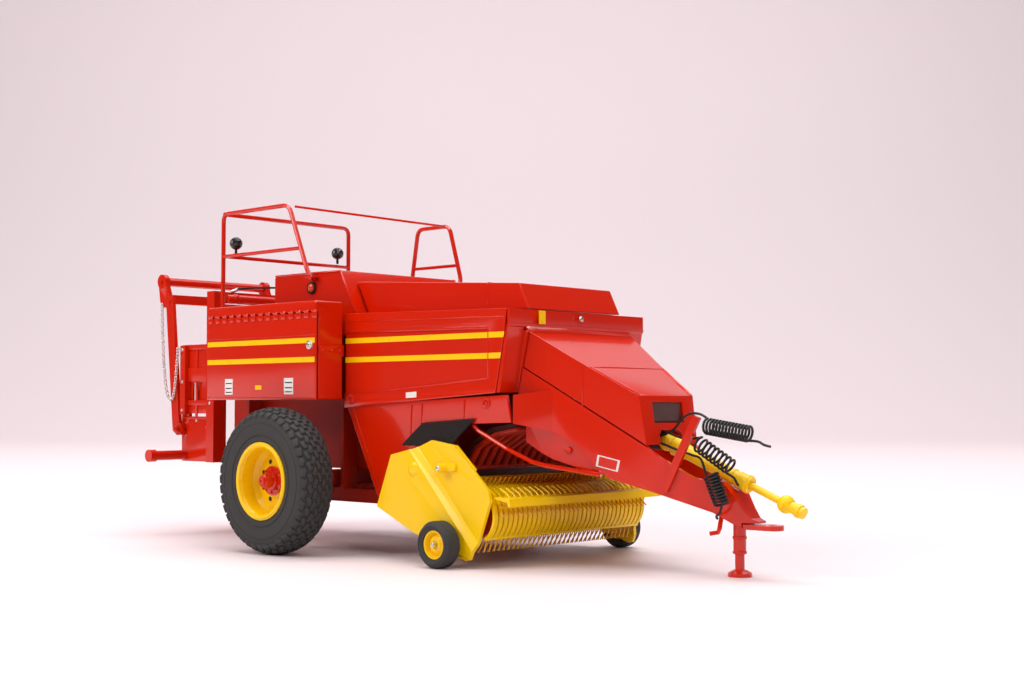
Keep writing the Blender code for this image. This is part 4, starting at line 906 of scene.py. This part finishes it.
def make_front():
    # the gearbox hood's seams and the rods along its sloping edges
    shape = bmesh.new()
    for side, _ in SIDES:
        y = side * (nose_half(84.8) - 0.15)
        sheet(shape, oblong(84.65, 39.2, 84.95, 48.9), y - side * 0.2, y + side * 0.12, 0.05)
        a, b = [(x, side * (nose_half(x) - 0.75), z) for x, z in ((86.2, 48.75), (98.0, 41.95))]
        rod(shape, a, b, 0.32, sides=12, edge=0.05)
    rod(shape, (86.2, -14.6, 48.55), (86.2, 14.6, 48.55), 0.3, sides=12, edge=0.05)
    piece("hood_seams", shape, "gloss_red", "frame")
    low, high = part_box("hood_window")
    shape = bmesh.new()
    upper_x, lower_x = [corner[0] / MM - AXLE_X + 0.1 for corner in (low, high)]
    upper = [(upper_x, y / MM, high[2] / MM) for y in (low[1], high[1])]
    lower = [(lower_x, y / MM, low[2] / MM) for y in (low[1], high[1])]
    for a, b in (upper, lower, (upper[0], lower[0]), (upper[1], lower[1])):
        rod(shape, a, b, 0.28, sides=10, edge=0.05)
    piece("window_frame", shape, "matt_black", "frame")
    # a blank plate on the drawbar's side, with a pale border
    for side, name in SIDES:
        shape, border = bmesh.new(), bmesh.new()
        corners = [(88.4, 27.7), (94.0, 26.4), (93.4, 23.7), (87.9, 25.0)]
        middle = sum((Vector(c) for c in corners), Vector((0, 0))) / 4
        turn = Matrix.Rotation(-side * math.atan(NOSE[2]), 4, "Z")
        for target, grow, thick in ((border, 1.0, 0.1), (shape, 0.82, 0.14)):
            outline = [middle + (Vector(c) - middle) * grow for c in corners]
            sheet(target, [tuple(p) for p in outline], -0.05, thick)
            pivot = at(middle.x, 0, middle.y)
            face = at(middle.x, side * nose_half(middle.x), middle.y)
            bmesh.ops.transform(target, matrix=Matrix.Scale(side, 4, (0, 1, 0)), verts=target.verts[:])
            move = Matrix.Translation(face) @ turn @ Matrix.Translation(-pivot)
            bmesh.ops.transform(target, matrix=move, verts=target.verts[:])
        piece("drawbar_plate_edge_" + name, border, "white_label", "frame")
        piece("drawbar_plate_" + name, shape, "gloss_red", "frame")
        shape = bmesh.new()
        x, z = 81.0, 28.6
        y = side * (nose_half(x) - 1.0)
        rivet(shape, (x, y, z), side, 1.0, 0.9, 18)
        rivet(shape, (x, y + side * 0.8, z), side, 0.6, 0.4, 6)
        piece("crop_guard_bolt_" + name, shape, "frame_red", "frame", 35)
        # a round hem along the lower edge of the drawbar's side
        shape = bmesh.new()
        line = [(88.6, 23.2), (98.0, 20.3), (108.0, 16.9), (116.0, 14.2)]
        line = [(x, side * (nose_half(x) - 0.4), z + 0.5) for x, z in line]
        for a, b in zip(line, line[1:]):
            rod(shape, a, b, 0.4, sides=12, edge=0.04)
        piece("drawbar_hem_" + name, shape, "gloss_red", "frame", 35)
    # front visor: label and lock
    low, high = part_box("front_cowl")
    front = high[0] / MM - AXLE_X
    shape = bmesh.new()
    box(shape, (front - 0.02, -16.6, 59.5), (front + 0.06, -14.2, 62.8), 0.0)
    piece("visor_label", shape, "stripe_yellow", "frame")
    shape = bmesh.new()
    rod(shape, (front - 0.1, -0.4, 61.3), (front + 0.35, -0.4, 61.3), 0.8, 0.65, 20, 0.1)
    piece("visor_lock", shape, "bright_steel", "frame", smooth=35)
    shape = bmesh.new()
    box(shape, (front - 0.02, -25.6, 59.15), (front + 0.1, 25.6, 59.4), 0.05)
    piece("visor_crease", shape, "gloss_red", "frame")
    # the sloping brow between the visor and the hood's rear edge
    shape = bmesh.new()
    brow = [(69.8, 57.7), (70.4, 58.85), (70.75, 58.85), (71.85, 57.6), (71.85, 57.2), (69.8, 57.2)]
    sheet(shape, brow, -20.2, 20.2, 0.1)
    piece("cowl_brow", shape, "gloss_red", "frame")
    # the long hood's front flap has a seam across it
    shape = bmesh.new()
    (rear_x, rear_z), (front_x, front_z) = (5.6, 73.6), (66.4, 69.9)
    x = 55.6
    z = rear_z - (rear_z - front_z) * (x - rear_x) / (front_x - rear_x)
    box(shape, (x - 0.12, -17.9, z - 0.1), (x + 0.12, 17.9, z + 0.12), 0.05)
    for side, _ in SIDES:
        sheet(shape, oblong(x - 0.12, 63.9, x + 0.12, z), side * 17.9, side * 18.1, 0.04)
    piece("hood_flap_seam", shape, "gloss_red", "frame")


# Knotter deck


def make_deck():
    for side, name in SIDES:
        shape = bmesh.new()
        y = side * 22.2
        rod(shape, (3.6, y, 76.5), (9.75, y, 64.9), 0.3, sides=12, edge=0.05)
        rod(shape, (-25.0, y, 76.6), (3.5, y, 76.5), 0.3, sides=12, edge=0.05)
        box(shape, (-8.6, side * 22.0, 75.0), (-5.2, side * 25.2, 75.5), 0.12)
        piece("knotter_edges_" + name, shape, "gloss_red", "frame")
        place = (MARKER[0], side * MARKER[1], MARKER[2])
        shape = bmesh.new()
        turned(
            shape, [(0.0, 0.9), (0.8, 0.75), (1.3, 0.3), (1.35, -0.1), (0.0, -0.1)], place, (0, side, 0), 28,
            closed=False,
        )
        piece("marker_lens_" + name, shape, "amber_lens", "frame", smooth=40)
        shape = bmesh.new()
        turned(shape, [(1.3, -0.2), (1.3, 0.45), (1.75, 0.3), (1.8, -0.2)], place, (0, side, 0), 28)
        piece("marker_ring_" + name, shape, "matt_black", "frame", smooth=40)
    x, z = -53.4, 71.8
    shape = bmesh.new()
    rod(shape, (x, -18.5, z), (x, 18.5, z), 1.2, sides=24, edge=0.1)
    for y in (-16.4, 15.0):
        rod(shape, (x, y, z), (x, y + 1.4, z), 1.5, sides=24, edge=0.12)
    piece("yoke_cylinder", shape, "frame_red", "frame", 30)
    shape = bmesh.new()
    line = [
        (-54.6, -15.4, 74.1), (-53.0, -14.6, 74.9), (-48.0, -10.0, 75.3), (-38.0, -4.0, 74.8),
        (-25.8, -1.0, 73.6),
    ]
    line = through([Vector(p) for p in line], 1.0)
    bent_rod(shape, [tuple(p) for p in line], 0.3, 8)
    piece("deck_cable", shape, "matt_black", "frame", 50, merge=False)
    shape = bmesh.new()
    rod(shape, (-55.2, -15.8, 74.1), (-53.2, -14.7, 74.8), 0.55, sides=12, edge=0.1)
    piece("cable_fitting", shape, "bright_steel", "frame", smooth=35)


# Rear


def make_rear():
    for side, name in SIDES:
        face = side * REAR_FACE
        shape = bmesh.new()
        for low, high in ((46.8, 51.0), (39.3, 40.9), (56.6, 58.1), (35.0, 35.9)):
            sheet(shape, oblong(-75.6, low, -59.0, high), face - side * 0.05, face + side * 0.45, 0.12)
        for x in (-75.6, -68.9, -59.9):
            sheet(shape, oblong(x, 35.0, x + 1.1, 58.1), face - side * 0.05, face + side * 0.3, 0.1)
        piece("rear_ribs_" + name, shape, "frame_red", "frame")
        shape = bmesh.new()
        for x, z, y in (
            (-74.0, 46.6, 20.2), (-74.0, 37.8, 20.2), (-68.4, 34.6, REAR_FACE), (-62.9, 32.6, REAR_FACE),
            (-74.0, 56.6, 20.2), (-56.6, 60.0, 22.3), (-56.6, 50.0, 22.3), (-56.6, 40.0, 22.3),
        ):
            rivet(shape, (x, side * y, z), side, 0.5, 0.35)
        piece("rear_rivets_" + name, shape, "bright_steel", "frame", smooth=35)
        shape = bmesh.new()
        x, z = -75.9, 32.0
        rod(shape, (x, side * 21.0, z), (x, side * 21.7, z), 1.3, 1.2, 6, 0.1)
        rod(shape, (x, side * 21.6, z), (x, side * 22.0, z), 0.7, 0.6, 16, 0.08)
        piece("chute_pin_nut_" + name, shape, "frame_red", "frame", 30)


def chain_link(shape, centre, along, flip, wire):
    """One oval link, flat or on edge, lying along the chain."""
    long_r, wide_r = 0.62 * MM, 0.42 * MM
    side = Vector((0, 1, 0))
    across = along.cross(side).normalized()
    if flip:
        across = side
    normal = along.cross(across).normalized()
    ring = bmesh.ops.create_circle(shape, cap_ends=False, radius=wire, segments=6)["verts"]
    edges = list({e for v in ring for e in v.link_edges})
    turn = Vector((0, 0, 1)).rotation_difference(along).to_matrix().to_4x4()
    bmesh.ops.transform(shape, matrix=Matrix.Translation(centre + across * wide_r) @ turn, verts=ring)
    spin(shape, ring + edges, centre, normal, 12)
    found, seen = list(ring), set(ring)
    for vert in found:
        for edge in vert.link_edges:
            other = edge.other_vert(vert)
            if other not in seen:
                seen.add(other)
                found.append(other)
    for vert in found:
        reach = (vert.co - centre).dot(along)
        if abs(reach) > 0.05 * MM:
            vert.co += along * math.copysign(long_r - wide_r, reach)


def make_chains():
    wire = bpy.context.scene.baler_sizes.link_wire
    for side, name in SIDES:
        y = side * 21.0
        hang = [
            (-84.4, 71.0), (-83.9, 62.0), (-83.0, 52.0), (-81.6, 44.5), (-79.6, 41.2), (-77.6, 42.6),
            (-76.4, 48.0), (-75.4, 57.0),
        ]
        line = through([at(x, y, z) for x, z in hang], 0.1 * MM)
        shape = bmesh.new()
        travelled, wanted, number = 0.0, 0.0, 0
        for a, b in zip(line, line[1:]):
            travelled += (b - a).length
            if travelled >= wanted:
                chain_link(shape, a, (b - a).normalized(), number % 2, wire)
                number += 1
                wanted += 0.9 * MM
        made = piece("chain_" + name, shape, "bright_steel", None, smooth=60, merge=False)
        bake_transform(made, "frame", "bale_chute", at(-75.6, y, 50), at(-84.2, y, 50))


# Drive shaft and jack


def make_shaft():
    slope = Vector((1, 0, -SHAFT[2])).normalized()

    def along(distance):
        return (SHAFT[0] + slope.x * distance, 0, SHAFT[1] + slope.z * distance)

    shape = bmesh.new()
    for distance in (6.0, 20.4):
        turned(shape, band(1.7, 1.92, 0.35, 0.2), along(distance), slope, 32)
    turned(shape, band(1.9, 2.2, 0.5, 0.3), along(24.6), slope, 32)
    piece("shaft_rings", shape, "satin_yellow", "shaft_outer", 35)
    shape = bmesh.new()
    turned(shape, band(1.2, 1.62, 0.5, 0.4), along(39.2), slope, 28)
    for y in (-1, 1):
        x, _, z = along(35.6)
        rod(shape, (x, y * 1.6, z), (x, y * 2.35, z), 0.75, 0.65, 16, 0.1)
    piece("shaft_end_collar", shape, "satin_yellow", "shaft_inner", 35)
    shape = bmesh.new()
    turned(
        shape,
        [
            (1.5, -3.6), (2.5, -3.2), (2.6, -2.2), (2.3, -1.6), (2.5, -1.0), (2.3, -0.4), (1.6, -0.6),
            (1.5, -2.0),
        ],
        (97.6, 0, 31.1), (1, 0, -0.1), 36,
    )
    piece("shaft_boot", shape, "matt_black", "frame", 35)
    shape = bmesh.new()
    for z, half, flat in ((9.0, 0.4, 0.25), (5.6, 0.3, 0.2)):
        turned(shape, band(1.45, 1.66, half, flat), (JACK_X, 0, z), (0, 0, 1), 28)
    piece("jack_bands", shape, "frame_red", "frame", 35)


# Add-on


class BALER_OT_stage(bpy.types.Operator):
    """Set the camera, the floor and the soft lights"""

    bl_idname = "baler.stage"
    bl_label = "Stage"

    def execute(self, context):
        make_camera()
        make_stage()
        return {"FINISHED"}


class BALER_OT_hoses(bpy.types.Operator):
    """Make the three coiled hoses"""

    bl_idname = "baler.hoses"
    bl_label = "Hoses"

    def execute(self, context):
        make_hoses()
        return {"FINISHED"}


class BALER_OT_finishes(bpy.types.Operator):
    """Paint the frame's shapes and round the panels' edges"""

    bl_idname = "baler.finishes"
    bl_label = "Panel finishes"

    def execute(self, context):
        make_finishes()
        return {"FINISHED"}


class BALER_OT_wheels(bpy.types.Operator):
    """Make the treaded tyres, the rims' holes and lips, and the bolts"""

    bl_idname = "baler.wheels"
    bl_label = "Wheels"

    def execute(self, context):
        make_wheels()
        return {"FINISHED"}


class BALER_OT_box_trim(bpy.types.Operator):
    """Make the twine boxes' stripes, hinges, labels and latches"""

    bl_idname = "baler.box_trim"
    bl_label = "Twine box trim"

    def execute(self, context):
        make_box_trim()
        return {"FINISHED"}


class BALER_OT_side_trim(bpy.types.Operator):
    """Make the side panels' stripes, beads, seams and fasteners"""

    bl_idname = "baler.side_trim"
    bl_label = "Side panel trim"

    def execute(self, context):
        make_side_trim()
        return {"FINISHED"}


class BALER_OT_pickup(bpy.types.Operator):
    """Make the stripper bands, the tines, the side details and the wind guard's rods"""

    bl_idname = "baler.pickup"
    bl_label = "Pickup"

    def execute(self, context):
        make_pickup()
        return {"FINISHED"}


class BALER_OT_intake(bpy.types.Operator):
    """Make the intake's ribs and cross bar"""

    bl_idname = "baler.intake"
    bl_label = "Intake"

    def execute(self, context):
        make_intake()
        return {"FINISHED"}


class BALER_OT_flaps(bpy.types.Operator):
    """Make the crop flaps' rivets and rubber fingers"""

    bl_idname = "baler.flaps"
    bl_label = "Flaps"

    def execute(self, context):
        make_flaps()
        return {"FINISHED"}


class BALER_OT_front(bpy.types.Operator):
    """Make the trim of the hoods, the window, the drawbar and the visor"""

    bl_idname = "baler.front"
    bl_label = "Front"

    def execute(self, context):
        make_front()
        return {"FINISHED"}


class BALER_OT_deck(bpy.types.Operator):
    """Make the knotter cover's edges, the marker lamps, the yoke's cylinder and the cable"""

    bl_idname = "baler.deck"
    bl_label = "Knotter deck"

    def execute(self, context):
        make_deck()
        return {"FINISHED"}


class BALER_OT_rear(bpy.types.Operator):
    """Make the rear frame's ribs and rivets and the chute's pin nuts"""

    bl_idname = "baler.rear"
    bl_label = "Rear frame"

    def execute(self, context):
        make_rear()
        return {"FINISHED"}


class BALER_OT_chains(bpy.types.Operator):
    """Hang the chute's two chains"""

    bl_idname = "baler.chains"
    bl_label = "Chains"

    def execute(self, context):
        make_chains()
        return {"FINISHED"}


class BALER_OT_shaft(bpy.types.Operator):
    """Make the shaft guard's rings, the boot and the jack's bands"""

    bl_idname = "baler.shaft"
    bl_label = "Drive shaft"

    def execute(self, context):
        make_shaft()
        return {"FINISHED"}


OPERATORS = [
    BALER_OT_stage, BALER_OT_hoses, BALER_OT_finishes, BALER_OT_wheels, BALER_OT_box_trim, BALER_OT_side_trim,
    BALER_OT_pickup, BALER_OT_intake, BALER_OT_flaps, BALER_OT_front, BALER_OT_deck, BALER_OT_rear,
    BALER_OT_chains, BALER_OT_shaft,
]


class BALER_PT_panel(bpy.types.Panel):
    bl_idname = "BALER_PT_panel"
    bl_label = "Square baler"
    bl_space_type = "VIEW_3D"
    bl_region_type = "UI"
    bl_category = "Baler"

    def draw(self, context):
        for group in (context.scene.baler_colours, context.scene.baler_sizes):
            for name in group.bl_rna.properties.keys():
                if name not in ("rna_type", "name"):
                    self.layout.prop(group, name)
        for made in OPERATORS:
            self.layout.operator(made.bl_idname)


CLASSES = [BalerColours, BalerSizes, *OPERATORS, BALER_PT_panel]


def register():
    for made in CLASSES:
        bpy.utils.register_class(made)
    bpy.types.Scene.baler_colours = PointerProperty(type=BalerColours)
    bpy.types.Scene.baler_sizes = PointerProperty(type=BalerSizes)


def unregister():
    del bpy.types.Scene.baler_sizes
    del bpy.types.Scene.baler_colours
    for made in reversed(CLASSES):
        bpy.utils.unregister_class(made)


def main():
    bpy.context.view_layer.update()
    register()
    for made in OPERATORS:
        getattr(bpy.ops.baler, made.bl_idname.split(".")[1])()


if __name__ == "__main__":
    main()
